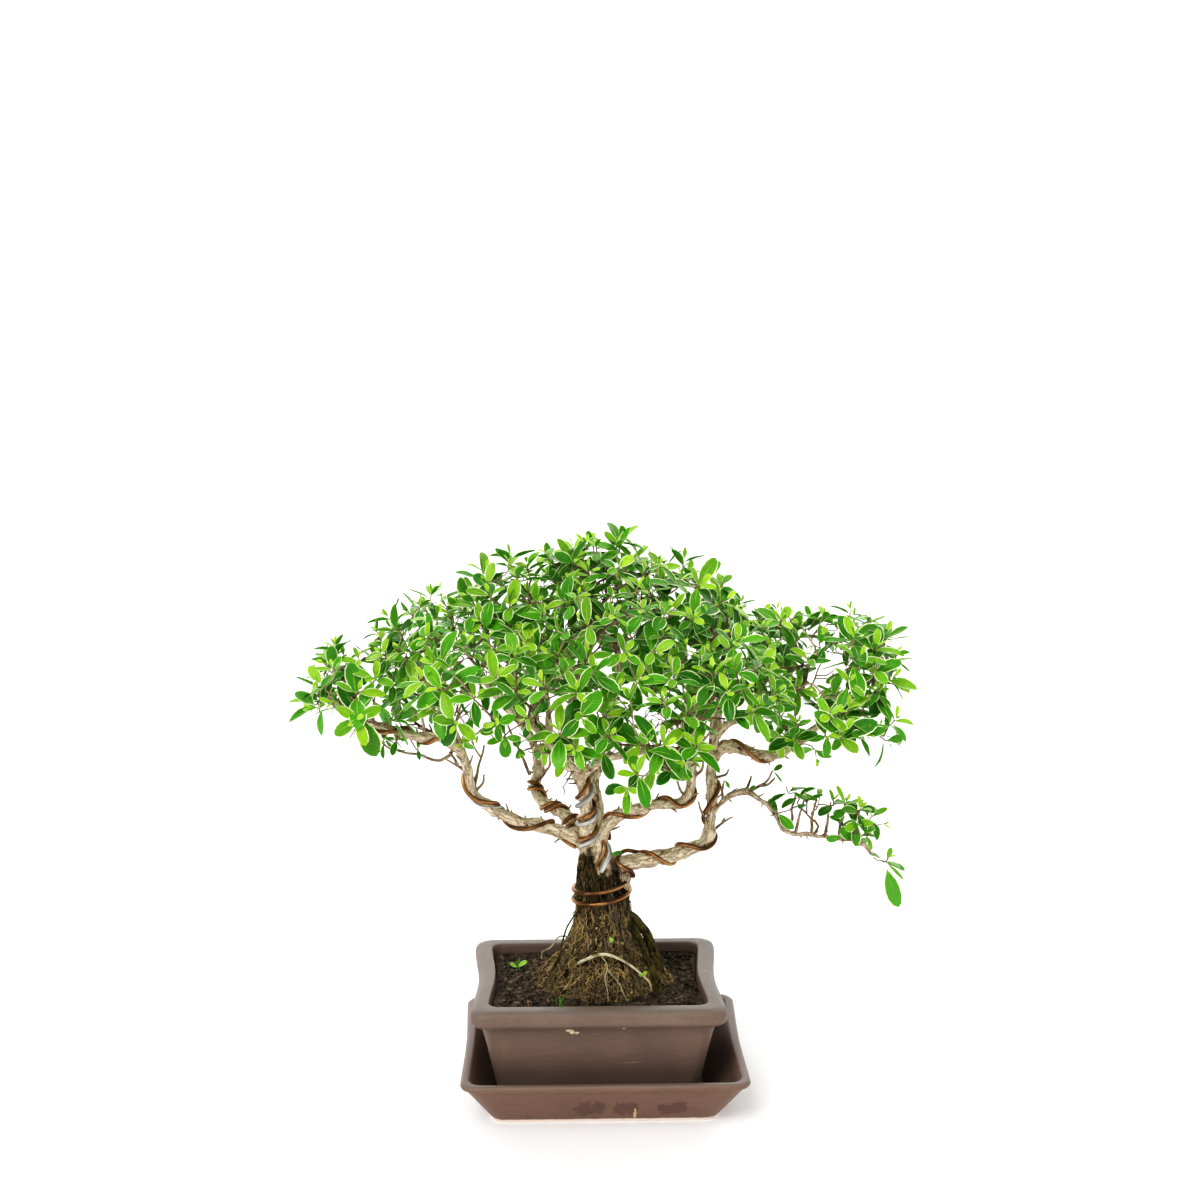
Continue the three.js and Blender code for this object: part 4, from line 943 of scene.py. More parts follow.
def pot_rings():
    """The pot's profile, from the middle of its underside over the rim to the middle of its floor."""
    x, y = POT["width"] / 2, POT["depth"] / 2
    band_foot = POT_HEIGHT - POT["rim_band"]
    foot_x, foot_y, foot = POT_BODY_X - POT["taper"], POT_BODY_Y - POT["taper"], POT["foot"]
    low, waist = pot_inside(POT_FLOOR_TOP + 2, 3), POT["waist"]
    return [
        (foot_x * 0.6, foot_y * 0.6, foot, 3, waist * 0.15), (foot_x - 5, foot_y - 5, foot, 5, waist * 0.2),
        (foot_x - 1.5, foot_y - 1.5, foot + 2.2, 7, waist * 0.35),
        (foot_x, foot_y, foot + 5.5, 8, waist * 0.4),
        (POT_BODY_X, POT_BODY_Y, band_foot - 1, 9, waist * 0.8), (x - 1.8, y - 1.8, band_foot, 10, waist),
        (x, y, band_foot + 2.4, 10, waist), (x, y, POT_HEIGHT - 4.4, 10, waist),
        (x - 1.5, y - 1.5, POT_HEIGHT - 1.3, 9.5, waist), (x - 4.6, y - 4.6, POT_HEIGHT, 9, waist),
        (x - 11, y - 11, POT_HEIGHT, 7.5, waist * 0.85), pot_inside(POT_HEIGHT - 1.4),
        pot_inside(POT_FLOOR_TOP + 2),
        (*low[:2], POT_FLOOR_TOP, *low[3:]), (low[0] * 0.6, low[1] * 0.6, POT_FLOOR_TOP, 3, 1),
    ]


def slab(width, depth, height, middle):
    """A small block with its upright edges rounded, in millimetres."""
    rings = [(width / 2 - b, depth / 2 - b, z, 3, 0) for b, z in ((BEVEL, 0), (0, BEVEL), (0, height))]
    return lathed(rounded(rings), 0, height, middle)


class BONSAI_OT_saucer(bpy.types.Operator):
    """Build the drip saucer"""
    bl_idname = "bonsai.saucer"
    bl_label = "Saucer"

    def execute(self, context):
        clay = settings("clay")
        wet = spots(
            [((-12.5, -57, 13), (6.5, 30, 7)), ((-5, -57, 14), (5, 30, 6)), ((9.5, -57, 12.2), (6.5, 30, 6)),
             ((16, -57, 13), (4.5, 30, 6)), ((38, -57, 11.5), (6.5, 30, 5)), ((45, -57, 13), (6, 30, 6))],
            [clay.saucer[0] * 0.62, clay.saucer[1] * 0.5, clay.saucer[2] * 0.45], -0.14, 0.85)
        straw = spots([((18.4, -57, 7.4), (1.0, 30, 5.2))], (0.6, 0.45, 0.25), 0.2, 0.9)
        mould = Mould()
        mould.add(*lathed(rounded(saucer_rings()), 0, SAUCER["floor"]))
        # A pale band runs round the foot of the saucer.
        # Painted shade darkens the inside of the saucer below its rim.
        finish = clay_finish("saucer_clay", clay.saucer, clay.dust_and_top_light, [
            pale_foot_band(clay.bare, 0.003), painted_shade_inside((0.05, 0.039, 0.032), 0.0305), wet, straw])
        settle(mould.cast("drip_saucer", [finish], 70), "saucer_clay", "saucer")
        return {"FINISHED"}


class BONSAI_OT_pot(bpy.types.Operator):
    """Build the pot with its feet and drainage holes"""
    bl_idname = "bonsai.pot"
    bl_label = "Pot"

    def execute(self, context):
        clay = settings("clay")
        mould = Mould()
        mould.add(*lathed(rounded(pot_rings()), POT["foot"], POT_FLOOR_TOP, POT_AT))
        foot_x, foot_y = (
            half - POT["taper"] - inset for half, inset in zip((POT_BODY_X, POT_BODY_Y), FOOT_INSET))
        for sign_x, sign_y in QUARTER_SIGNS:
            middle = (POT_AT[0] + sign_x * foot_x, sign_y * foot_y, POT_LIFT)
            mould.add(*slab(*FOOT_SIZE, POT["foot"] + FOOT_SUNK, middle))
        flecks = spots(
            [((-20.4, -56, 62.6), (1.9, 6, 1.6)), ((-17.8, -56, 61.8), (1.5, 6, 1.1)),
             ((-23, -56, 63.7), (1.9, 6, 0.8)), ((11.4, -56, 65.2), (1, 6, 0.8))],
            (0.72, 0.6, 0.4), 0.25, 0.9)
        scuffs = spots(
            [((65, 62, 76), (2.4, 14, 6)), ((69.5, 62, 76), (1.4, 14, 6)), ((66, 2, 76), (2.2, 1.5, 8)),
             ((14, -52, 39.3), (6.5, 30, 0.5)), ((19, -52, 39.8), (4, 30, 0.5))],
            (0.3, 0.26, 0.23), 0.1, 0.4)
        pot = mould.cast("pot_body", [clay_finish("pot_clay", clay.pot, clay.dust_and_top_light, [flecks, scuffs])], 70)
        bore_drains(pot)
        settle(pot, "pot_clay", "pot")
        return {"FINISHED"}


def bore_drains(pot):
    """Cuts the drainage holes in the pot's floor."""
    drills = Mould()
    for x in (POT_AT[0] - POT["drain_x"], POT_AT[0] + POT["drain_x"]):
        line = np.array([(x, 0, POT_LIFT - DRILL_PAST), (x, 0, POT_LIFT + POT_FLOOR_TOP + DRILL_PAST)]) * MM
        drills.add(*tube(line, POT["drain_radius"] * MM, DRILL_SIDES)[:2])
    drill = drills.cast("drill", [])
    cut = pot.modifiers.new("drains", "BOOLEAN")
    cut.operation, cut.solver, cut.object = "DIFFERENCE", "EXACT", drill
    bored = bpy.data.meshes.new_from_object(pot.evaluated_get(bpy.context.evaluated_depsgraph_get()))
    pot.modifiers.clear()
    pot.data = bored
    bpy.data.objects.remove(drill)


SOIL_TOP = POT_HEIGHT - SOIL_BELOW_RIM
SOIL_LEVEL = POT_LIFT + SOIL_TOP
SOIL_GAP = FIT + 0.15
SOIL_RINGS = 70
BANK_REACH = (52 * MM, 46 * MM)  # the soil banks up inside this ellipse
BANK_HEIGHT = 3.2
CRUMB_REACH = (44 * MM, 38 * MM)  # crumbs keep off this ellipse, where the crown of roots stands
FIBRE_REACH = (46, 40)
FIBRES = 95
# Seedlings: middle of each tuft, how many, how tall.
SEEDLINGS = [((-28, -40), 9, 6), ((-54, 20), 5, 9), ((44, 6), 3, 5)]


def soil_height(points):
    """How far the soil lies above its level: lumps, banked up against the crown of roots."""
    away = np.hypot(points[..., 0] / BANK_REACH[0], points[..., 1] / BANK_REACH[1])
    flat = points * [1, 1, 0]
    lumps = grainy(flat, 0.011, 5, 4) * 1.5 + mottle(flat, 0.0035, 9) * 0.5
    return (lumps + BANK_HEIGHT * ease(away, 1.25, 0.75)) * MM


class BONSAI_OT_soil(bpy.types.Operator):
    """Build the soil with its crumbs, fibres and seedlings"""
    bl_idname = "bonsai.soil"
    bl_label = "Soil"

    def execute(self, context):
        foot = POT_FLOOR_TOP + 3
        *below, edge = (
            outline(pot_inside(z, SOIL_GAP)) * MM + np.array(POT_AT) * MM for z in (foot, 40, SOIL_TOP))
        middle = np.array([POT_AT[0] * MM, 0, edge[0, 2]])
        rings = np.array([blend(edge, middle, step / SOIL_RINGS) for step in range(SOIL_RINGS)])
        fade = np.linspace(0, 1, SOIL_RINGS)[:, None]
        rings[..., 2] += soil_height(rings) * ease(fade, 0, 0.05)
        top = middle + [0, 0, 2 * MM]
        bottom = middle * [1, 1, 0] + [0, 0, (POT_LIFT + foot) * MM]
        points, faces = closed_rings(np.concatenate([below, rings]), bottom, top)
        mould = Mould()
        mould.add(points, faces, tone=0.14 + 0.2 * mottle(points, 0.006, 3) + 0.1 * dryness(points))
        add_crumbs(mould)
        settle(mould.cast("potting_soil", [soil_finish()], 40), "soil", "soil")
        add_fibres()
        return {"FINISHED"}


def dryness(place):
    """The soil is drier on the left."""
    return ease(place[..., 0], 0.03, -0.04)


def crumb_shape():
    """Corners and faces of a rough lump with twenty sides."""
    golden = (1 + math.sqrt(5)) / 2
    corners = []
    for a in (-1, 1):
        for b in (-golden, golden):
            corners += [(0, a, b), (a, b, 0), (b, 0, a)]
    corners = unit(corners)
    faces = []
    for i in range(12):
        for j in range(i + 1, 12):
            for k in range(j + 1, 12):
                sides = [np.linalg.norm(corners[p] - corners[q]) for p, q in ((i, j), (j, k), (i, k))]
                if max(sides) < 1.1:
                    way = np.cross(corners[j] - corners[i], corners[k] - corners[i])
                    faces.append((i, j, k) if way @ corners[i] > 0 else (i, k, j))
    return corners, np.array(faces)


def add_crumbs(mould):
    """Loose crumbs on the soil, inside the waist of the pot and off the crown of roots."""
    look = settings("soil")
    draw = np.random.default_rng(SEEDS["crumbs"])
    corners, faces = crumb_shape()
    x, y = pot_inside(SOIL_TOP, 2.5)[:2]
    for _ in range(look.crumbs):
        place = np.array([POT_AT[0] + draw.uniform(-x, x) * 0.97, draw.uniform(-y, y) * 0.98, 0]) * MM
        waist = POT["waist"] * 0.75 * MM * (1 + math.cos(math.pi * place[1] / (y * MM))) / 2
        away = math.hypot(place[0] / CRUMB_REACH[0], place[1] / CRUMB_REACH[1])
        if abs(place[0] - POT_AT[0] * MM) > x * MM - waist or away < 0.93:
            continue
        size = look.crumb * (0.25 + 0.75 * draw.random() ** 2.2)
        stretch = draw.uniform(0.6, 1.25, 3) * [1, 1, 0.75]
        lump = corners * draw.uniform(0.72, 1.2, (12, 1)) * stretch * size
        turn = draw.uniform(0, 2 * math.pi)
        lump[:, :2] = lump[:, :2] @ [[math.cos(turn), -math.sin(turn)], [math.sin(turn), math.cos(turn)]]
        level = SOIL_LEVEL * MM + soil_height(place[None])[0]
        place[2] = level + size * draw.uniform(-0.1, 0.5)
        mould.add(lump + place, [faces], tone=draw.random() ** 2.5 * (0.75 + 0.45 * dryness(place)))


def wandering(line, wander, size=0.006):
    """The line with small bends, fading out at its thick end."""
    bends = np.stack([mottle(line, size, seed) for seed in (201, 202, 203)], -1)
    return line + bends * (wander * MM * np.linspace(0, 1, len(line)) ** 0.5)[:, None]


def strand(mould, knots, radii, sides, step=1.4, rough=0.0, wander=0.0, **values):
    """A thin curved strand through points in millimetres, thick end first. Rough is a share of its radius."""
    curve = Curve(np.array(knots, float) * MM)
    share = curve.shares(step)
    thick = blend(radii[0], radii[1], share) * MM

    def relief(grain):
        return rough * thick[:, None] * (grainy(grain, max(radii) * 1.6 * MM, 91, 3) + 0.35)

    line = wandering(curve.at(share), wander)
    add_tube(mould, line, thick, sides, relief if rough else None, **values)


def add_fibres():
    """Straw, dead roots and a few seedlings on the soil."""
    draw = np.random.default_rng(SEEDS["fibres"])
    fibres = Mould()
    x, y = pot_inside(SOIL_TOP, 8)[:2]
    for _ in range(FIBRES):
        start = np.array([POT_AT[0] + draw.uniform(-x, x), draw.uniform(-y, y)])
        if math.hypot(start[0] / FIBRE_REACH[0], start[1] / FIBRE_REACH[1]) < 0.95:
            continue
        heading = draw.uniform(0, 2 * math.pi)
        knots = []
        for _ in range(4):
            lift = soil_height(np.array([[start[0], start[1], 0]]) * MM)[0] / MM
            knots.append((start[0], start[1], SOIL_LEVEL + lift + draw.uniform(0.3, 1.1)))
            heading += draw.normal(0, 0.5)
            start = start + draw.uniform(1.2, 4.2) * np.array([math.cos(heading), math.sin(heading)])
            start = np.clip(start, (POT_AT[0] - x, -y), (POT_AT[0] + x, y))
        strand(fibres, knots, (draw.uniform(0.16, 0.34), 0.1), 5, tone=draw.random())
    straw = tuft_finish("straw", (0.13, 0.075, 0.05), (0.5, 0.36, 0.25))
    settle(fibres.cast("soil_fibres", [straw]), "soil")
    seedlings = Mould()
    for middle, count, tall in SEEDLINGS:
        for _ in range(count):
            start = np.array([*middle, SOIL_LEVEL + 0.5]) + draw.normal(0, 1.3, 3) * [1, 1, 0]
            lean = draw.normal(0, 0.35, 3) * [1, 1, 0] + UP
            tip = start + lean * tall * draw.uniform(0.5, 1)
            bend = blend(start, tip, 0.5) + draw.normal(0, 0.5, 3)
            strand(seedlings, [start, bend, tip], (0.4, 0.12), 5, 0.8, tone=draw.random())
    green = tuft_finish("seedling", (0.06, 0.2, 0.02), (0.24, 0.48, 0.06))
    settle(seedlings.cast("seedlings", [green]), "leaf")


# ---------------------------------------------------------------- wood

WOOD_SLOT = "bark"
TRUNK_SIDES = 168
TRUNK_RINGS = 144
TRUNK_GRAIN = 20 * MM  # radius on which the grain of the trunk is laid out
ROOT_STRANDS = 230
LIMB_SIDES = 16
SLIM_LIMB = "hanging"
SLIM_SIDES = 12
LIMB_STEP = 1.4
TWIG_EVERY = 4.6 * MM
STUBS_ABOVE = 0.168
TALL_ABOVE = 0.2
TALL_SHARE = 0.28
TALL_FORKS = 2


def trunk_ridge(turn):
    """Shallow flutes round the trunk, from -1 to 1."""
    return 0.5 * np.cos(5 * turn + 1) + 0.35 * np.cos(8 * turn + 2.4) + 0.15 * np.cos(11 * turn)


def trunk_skin(level, turn):
    """Places on the smooth trunk, by height and angle, with the way out of it."""
    rows = TRUNK_LEVELS.line
    x, rx, ry, flute = (np.interp(level, rows[:, 0], rows[:, k]) for k in (1, 2, 3, 4))
    swell = 1 + flute / MM * trunk_ridge(turn)
    place = np.stack([x + np.cos(turn) * rx * swell, np.sin(turn) * ry * swell, level], -1)
    out = unit(np.stack([np.cos(turn) / rx, np.sin(turn) / ry, 0 * turn], -1))
    return place, out


def trunk_relief(place, level, turn):
    """Depth of the stringy wood: furrows that fan out over the roots, lumps and pits."""
    sheet = np.stack([TRUNK_GRAIN * np.cos(turn), TRUNK_GRAIN * np.sin(turn), level * 0.2], -1)
    sheet = sheet + 1.4 * MM * np.stack([mottle(place, 0.009, 35), mottle(place, 0.009, 36), 0 * level], -1)
    strings = 1 - 2 * np.abs(mottle(sheet, 0.0042, 31))
    fine = 1 - 2 * np.abs(mottle(sheet, 0.0019, 37))
    lumps = grainy(place, 0.012, 41, 4)
    pits = ease(mottle(place * [1, 1, 0.5], 0.0065, 43), 0.25, 0.75)
    return 0.36 * strings + 0.25 * fine + 0.8 * lumps - 0.85 * pits


def dampness(place):
    """1 on the dark, damp lower trunk, which reaches up into the hollow in front, and 0 on the dry limbs."""
    x, y, z = place[..., 0], place[..., 1], place[..., 2]
    hollow = np.exp(-((x + 0.0085) / 0.0045) ** 2) * ease(-y, 0.001, 0.006)
    edge = 0.151 + 0.017 * hollow + 0.011 * grainy(place, 0.006, 51, 3)
    return ease(edge - z, -0.003, 0.004)


def raised_dampness(place):
    """Dampness that reaches 3 mm higher than on the trunk."""
    return dampness(place - [0, 0, 3 * MM])


def mossiness(place):
    """Moss keeps to the flanks of the trunk and the shoulder on the right."""
    flank = ease(np.abs(place[..., 0] - 0.001), 0.009, 0.02)
    low = ease(place[..., 2], 0.162, 0.145)
    patch = ease(mottle(place, 0.008, 61), 0.0, 0.55)
    return flank * low * patch


class BONSAI_OT_wood(bpy.types.Operator):
    """Build the trunk, the limbs and the stringy roots"""
    bl_idname = "bonsai.wood"
    bl_label = "Wood"

    def execute(self, context):
        look = settings("wood")
        mould = Mould()
        turn = np.arange(TRUNK_SIDES) * 2 * math.pi / TRUNK_SIDES
        level = np.linspace(TRUNK[0][0], TRUNK[-1][0], TRUNK_RINGS)[:, None] * MM
        turn, level = np.broadcast_arrays(turn[None], level)
        place, out = trunk_skin(level, turn)
        fade = ease(level, (TRUNK[-1][0] + 1) * MM, (TRUNK[-1][0] - 8) * MM)
        place = place + out * (trunk_relief(place, level, turn) * look.relief * fade)[..., None]
        points, faces = closed_rings(place, place[0].mean(0), place[-1].mean(0) + [0, 0, 0.002])
        grain = np.stack([TRUNK_GRAIN * np.cos(turn), TRUNK_GRAIN * np.sin(turn), level], -1).reshape(-1, 3)
        grain = np.vstack([grain, points[-2:]])
        mould.add(points, faces, grain=grain, damp=dampness(points), moss=mossiness(points))
        for name, (root, tip, _) in LIMBS.items():
            add_limb(mould, name, root * MM, tip * MM, 100 + len(name))
        for knots in BARE_TWIGS:
            strand(mould, knots, (1.05, 0.5), 7, 1.2, 0.3, 1.3, twig=0.8)
        for knots, radii, damp in KNUCKLES:
            strand(mould, knots, radii, 26, 0.8, 0.4, twig=0.1, damp=damp or raised_dampness)
        add_low_twigs(mould)
        add_root_strands(mould)
        wood = mould.cast("tree_wood_bark", [bark_finish()], 60)
        settle(wood, WOOD_SLOT, "tree_wood")
        return {"FINISHED"}


def add_limb(mould, name, root, tip, seed):
    """A limb with its bark, thicker where it leaves the wood below."""
    curve = CURVES[name]
    share = curve.shares(LIMB_STEP)
    reach = share * curve.length
    slim = name == SLIM_LIMB
    radii = blend(root, tip, share) * (0.86 if slim else 1) * (1 + 0.4 * np.exp(-reach / (5 * MM)))
    radii = radii * (1 + 0.1 * mottle(np.stack([reach, 0 * reach, 0 * reach], -1), 0.009, seed))

    def relief(grain):
        strings = 1 - 2 * np.abs(mottle(grain * [1, 1, 0.2], 0.0016, seed + 1))
        flakes = ease(mottle(grain * [1, 1, 0.45], 0.0028, seed + 4), 0.05, 0.3)
        lumps = grainy(grain, 0.006, seed + 2, 3)
        knots = ease(mottle(grain, 0.0045, seed + 3), 0.45, 0.8)
        depth = 0.12 * strings + 0.12 * flakes + 0.2 * lumps + 0.3 * knots - 0.05
        return depth * radii[:, None] * (1.7 if slim else 1)

    line = wandering(curve.at(share), 0.9 if slim else 0.5, 0.007 if slim else 0.014)
    add_tube(
        mould, line, radii, SLIM_SIDES if slim else LIMB_SIDES, relief,
        damp=lambda points: dampness(points) * 0.9,
        twig=0.35 if slim else lambda points: 0.55 * ease(points[:, 2], 0.235, 0.275))


# The knuckle under the lowest limb, the stub above it, the neck that runs down the front of the trunk and the
# strip on its left: centre line, radii at its ends, dampness, where 0 takes that of the trunk.
KNUCKLES = [
    ([(7, -2, 131), (12, -3, 137), (14, -4.4, 145.5), (14.2, -6, 152)], (3.2, 3.9), 0.3),
    ([(10.3, -9.5, 154.6), (15, -9, 155.4), (22, -7.4, 156.2), (31, -7, 158)], (5.2, 4.5), 0.0),
    ([(-2, -6, 172), (-0.9, -8.6, 167.6), (-0.9, -10.4, 161.7), (-0.2, -11.8, 155.8), (0.8, -12.4, 149.7),
      (1.3, -11.4, 143.9), (1.6, -9.6, 138)], (4.1, 1.8), 0.0),
    ([(-9, -3, 168), (-12.5, -5, 161), (-13.3, -5.8, 154), (-13.2, -6, 146), (-12, -5, 138)], (3.2, 1), 0.0),
]


def add_low_twigs(mould):
    """Stubs on the limbs, and bare twigs that fork as they rise into the crown."""
    draw = np.random.default_rng(SEEDS["twigs"])
    for name, (root, tip, _) in LIMBS.items():
        curve = CURVES[name]
        for share in np.arange(0.12, 0.98, TWIG_EVERY / curve.length):
            place, along = curve.at(share), curve.heading(share)
            if place[2] < STUBS_ABOVE:
                continue
            out = unit(np.cross(along, draw.normal(0, 1, 3)))
            girth = blend(root, tip, share)
            tall = place[2] > TALL_ABOVE and draw.random() < TALL_SHARE
            length = (draw.uniform(14, 36) if tall else draw.uniform(1.5, 5)) + girth
            heading = unit(out + along * draw.uniform(0.2, 0.8) + UP * (0.9 if tall else 0.1))
            thick = min(girth * 0.4, 1.15 if tall else 0.9)
            add_forked(mould, place / MM, heading, length, thick, draw, TALL_FORKS if tall else 0)


def add_forked(mould, start, heading, length, thick, draw, forks):
    """A bare twig in millimetres, with thinner ones that fork from it."""
    bend = start + heading * length * 0.5 + draw.normal(0, 0.07, 3) * length
    tip = start + heading * length + draw.normal(0, 0.12, 3) * length + UP * length * 0.1
    strand(mould, [start, bend, tip], (thick, max(thick * 0.5, 0.32)), 5, 2.6, 0.2, 0.8,
           twig=draw.uniform(0.35, 1))
    for _ in range(forks):
        t = draw.uniform(0.35, 0.85)
        knee = blend(start, tip, t) + (bend - blend(start, tip, 0.5)) * 4 * t * (1 - t)
        way = unit(heading + draw.normal(0, 0.65, 3))
        shorter, thinner = length * draw.uniform(0.35, 0.65), max(thick * 0.62, 0.34)
        add_forked(mould, knee, way, shorter, thinner, draw, forks - 1)


def add_root_strands(mould):
    """Stringy roots on the lower trunk that run down and fan out into the soil."""
    draw = np.random.default_rng(SEEDS["strands"])
    for _ in range(ROOT_STRANDS):
        turn = draw.uniform(0, 2 * math.pi)
        high = draw.uniform(80, 152)
        low = max(high - draw.uniform(18, 55), draw.uniform(67, 74))
        levels = np.linspace(high, low, 9) * MM
        turns = turn + np.cumsum(draw.normal(0, 0.06, 9)) + 0.1 * draw.normal() * np.linspace(0, 1, 9)
        place, out = trunk_skin(levels, turns)
        line = Curve(place + out * (draw.uniform(-0.5, 0.9) + draw.normal(0, 0.25, 9))[:, None] * MM)
        share = line.shares(2.3, 8)
        thick = draw.uniform(0.3, 1.15) * MM
        radii = thick * np.sin(math.pi * np.clip(0.06 + share * 0.94, 0, 1)) ** 0.35 * blend(0.7, 1.1, share)
        add_tube(
            mould, line.at(share), radii + 0.1 * MM, 6,
            damp=draw.uniform(0.75, 1), moss=lambda points: 0.5 * mossiness(points))
    for knots, radii, pale in LOOSE_ROOTS:
        strand(mould, knots, radii, 7, 1.3, 0.15, 1.2, damp=1, moss=0.4, pale=pale)


# Roots that stand free of the trunk: centre line, radii at its ends, how pale.
LOOSE_ROOTS = [
    ([(-2, -27, 101), (1.5, -34, 97), (0.9, -36, 89), (2.2, -38, 80), (1.6, -42, 72)], (0.42, 0.2), 0.6),
    ([(1, -33, 95), (7.2, -36, 88.8), (10.9, -38, 82), (14.7, -40, 76), (18, -42, 72)], (0.4, 0.2), 0.5),
    ([(-39.5, -9, 92), (-38.3, -10, 97.2), (-34.2, -10, 99.5), (-29.7, -10, 105.5), (-25.2, -9, 107.3),
      (-20, -8, 105)], (0.6, 0.45), 0.4),
    ([(-14, -9, 126), (-19.5, -9, 119), (-23.5, -10, 112), (-25.5, -11, 105.3), (-27.5, -12, 97),
      (-33, -13, 84)], (0.5, 0.6), 0.0),
    ([(13, -4, 122), (20.5, -5, 117), (26.5, -6, 109), (31.5, -7, 97), (35, -8, 82),
      (38, -9, 72)], (2.2, 4.6), 0.0),
    ([(13, -8, 119), (21, -11, 111), (26, -15, 99), (31, -19, 85), (35, -23, 73)], (1.6, 2.6), 0.0),
    ([(5, -27, 92), (8, -33, 84), (7, -39, 75)], (0.35, 0.2), 0.3),
    ([(-12, -28, 90), (-16, -34, 82), (-24, -38, 74)], (0.4, 0.25), 0.1),
    ([(-20, -24, 86), (-23, -31, 84), (-26, -33, 81)], (0.45, 0.3), 0.5),
]
ARCHED_ROOT = [
    (-17, -15, 90), (-14.3, -23, 95.4), (-8.7, -28, 100.1), (-3.7, -30, 102.7), (1.3, -30.5, 103),
    (6.9, -30.5, 101.1), (13.6, -30, 97.4), (20.3, -29.5, 92), (25.2, -29, 87.2), (28.6, -27.8, 82.6),
    (30, -24.5, 75),
]
ARCHED_STEPS = 90
ARCHED_RADII = (1.2, 0.55)
MAT_STRANDS = 1700
MAT_CRUMBS = 2200
MAT_STEPS = 5
MOSS_SPIKES = 26000
SPIKE_CORNERS = np.array([(0, 1, 3), (1, 2, 3), (2, 0, 3), (0, 2, 1)])


class BONSAI_OT_surface_root(bpy.types.Operator):
    """Build the pale root that arches over the soil"""
    bl_idname = "bonsai.surface_root"
    bl_label = "Surface root"

    def execute(self, context):
        mould = Mould()
        curve = Curve(np.array(ARCHED_ROOT) * MM)
        share = np.linspace(0, 1, ARCHED_STEPS)

        def relief(grain):
            return (0.16 * grainy(grain, 0.004, 71, 3) + 0.05 * mottle(grain * [1, 1, 0.2], 0.0012, 72)) * MM

        add_tube(
            mould, curve.at(share), blend(*ARCHED_RADII, share) * MM, 16, relief, damp=0.5, moss=0.8,
            pale=lambda points: 0.95 - 0.75 * ease(mottle(points, 0.005, 73), 0.0, 0.6))
        settle(mould.cast("arched_surface_root", [bark_finish()], 60), WOOD_SLOT)
        return {"FINISHED"}


class BONSAI_OT_root_mat(bpy.types.Operator):
    """Lay the felt of fine roots over the foot of the trunk"""
    bl_idname = "bonsai.root_mat"
    bl_label = "Fine roots"

    def execute(self, context):
        draw = np.random.default_rng(SEEDS["mat"])
        relief = settings("wood").relief
        mould = Mould()
        for _ in range(MAT_STRANDS):
            high = 68 + 62 * draw.random() ** 1.5
            turn = draw.uniform(0, 2 * math.pi)
            slack = draw.uniform(0.6, 1.6)
            levels = high - np.cumsum(draw.uniform(0.2, 2.6, MAT_STEPS) * slack)
            levels = np.clip(levels, 66, 150) * MM
            turns = turn + np.cumsum(draw.normal(0, 0.05, MAT_STEPS) + 0.025 * draw.normal()) * slack
            place, out = trunk_skin(levels, turns)
            rise = np.abs(draw.normal(0.5, 0.7, MAT_STEPS)) * np.array([0.3, 1, 1.2, 1, 0.2])
            place = place + out * (trunk_relief(place, levels, turns)[:, None] * relief * 0.7)
            line = Curve(place + out * rise[:, None] * MM)
            share = np.linspace(0, 1, 7)
            points, faces, _ = tube(line.at(share), draw.uniform(0.14, 0.34) * MM, 4)
            mould.add(points, faces, tone=draw.random() * (0.75 + 0.6 * mottle(points, 0.011, 45)))
        corners, faces = crumb_shape()
        for _ in range(MAT_CRUMBS):
            level = (68 + 66 * draw.random() ** 1.3) * MM
            turn = np.array(draw.uniform(0, 2 * math.pi))
            place, out = trunk_skin(level, turn)
            place = place + out * (trunk_relief(place, level, turn) * relief + draw.uniform(-0.1, 0.5) * MM)
            lump = corners * draw.uniform(0.6, 1.3, (12, 1)) * draw.uniform(0.5, 1.4, 3)
            lump = lump * draw.uniform(0.35, 1) * MM
            mould.add(lump + place, [faces], tone=draw.random() ** 2)
        felt = tuft_finish("root_felt", (0.034, 0.023, 0.01), (0.52, 0.38, 0.17))
        settle(mould.cast("fine_roots", [felt]), WOOD_SLOT)
        return {"FINISHED"}


class BONSAI_OT_moss(bpy.types.Operator):
    """Grow the moss on the trunk"""
    bl_idname = "bonsai.moss"
    bl_label = "Moss"

    def execute(self, context):
        draw = np.random.default_rng(SEEDS["moss"])
        mould = Mould()
        turn = draw.uniform(0, 2 * math.pi, MOSS_SPIKES)
        level = draw.uniform(73, 158, MOSS_SPIKES) * MM
        place, out = trunk_skin(level, turn)
        place = place + out * (trunk_relief(place, level, turn) * settings("wood").relief)[:, None]
        kept = draw.random(MOSS_SPIKES) < 0.02 + 0.3 * mossiness(place) ** 1.5
        place, out = place[kept], out[kept]
        size = draw.uniform(0.4, 1.2, len(place))[:, None] * MM
        lean = unit(out + UP * 0.4 + draw.normal(0, 0.6, out.shape))
        side = unit(np.cross(lean, draw.normal(0, 1, out.shape)))
        other = np.cross(lean, side)
        base = place - out * 0.4 * MM
        foot = [base + (side * math.cos(a) + other * math.sin(a)) * size * 0.24 for a in (0, 2.1, 4.2)]
        spikes = np.stack([*foot, base + lean * size * 1.3], 1)
        faces = (np.arange(len(spikes))[:, None, None] * 4 + SPIKE_CORNERS).reshape(-1, 3)
        mould.add(spikes, [faces], tone=np.repeat(draw.random(len(spikes)) ** 1.6, 4))
        settle(mould.cast("moss", [tuft_finish("moss", (0.035, 0.04, 0.008), (0.42, 0.42, 0.06))]), "leaf")
        return {"FINISHED"}


# ---------------------------------------------------------------- wire

WIRE_SIDES = 12
WIRE_STEP = 1.0
STEPS_PER_TURN = 12
DEGREES_ALONG = 900  # how many degrees of winding count like the whole length of a limb
WIRE_BITE = 0.15  # how far the wire sinks into the bark
BLUNT = 0.72  # radius of a cut end, as a share of the wire's
SKIN = 0.7  # how far the relief of the trunk lifts the wire on it, as a share of its depth


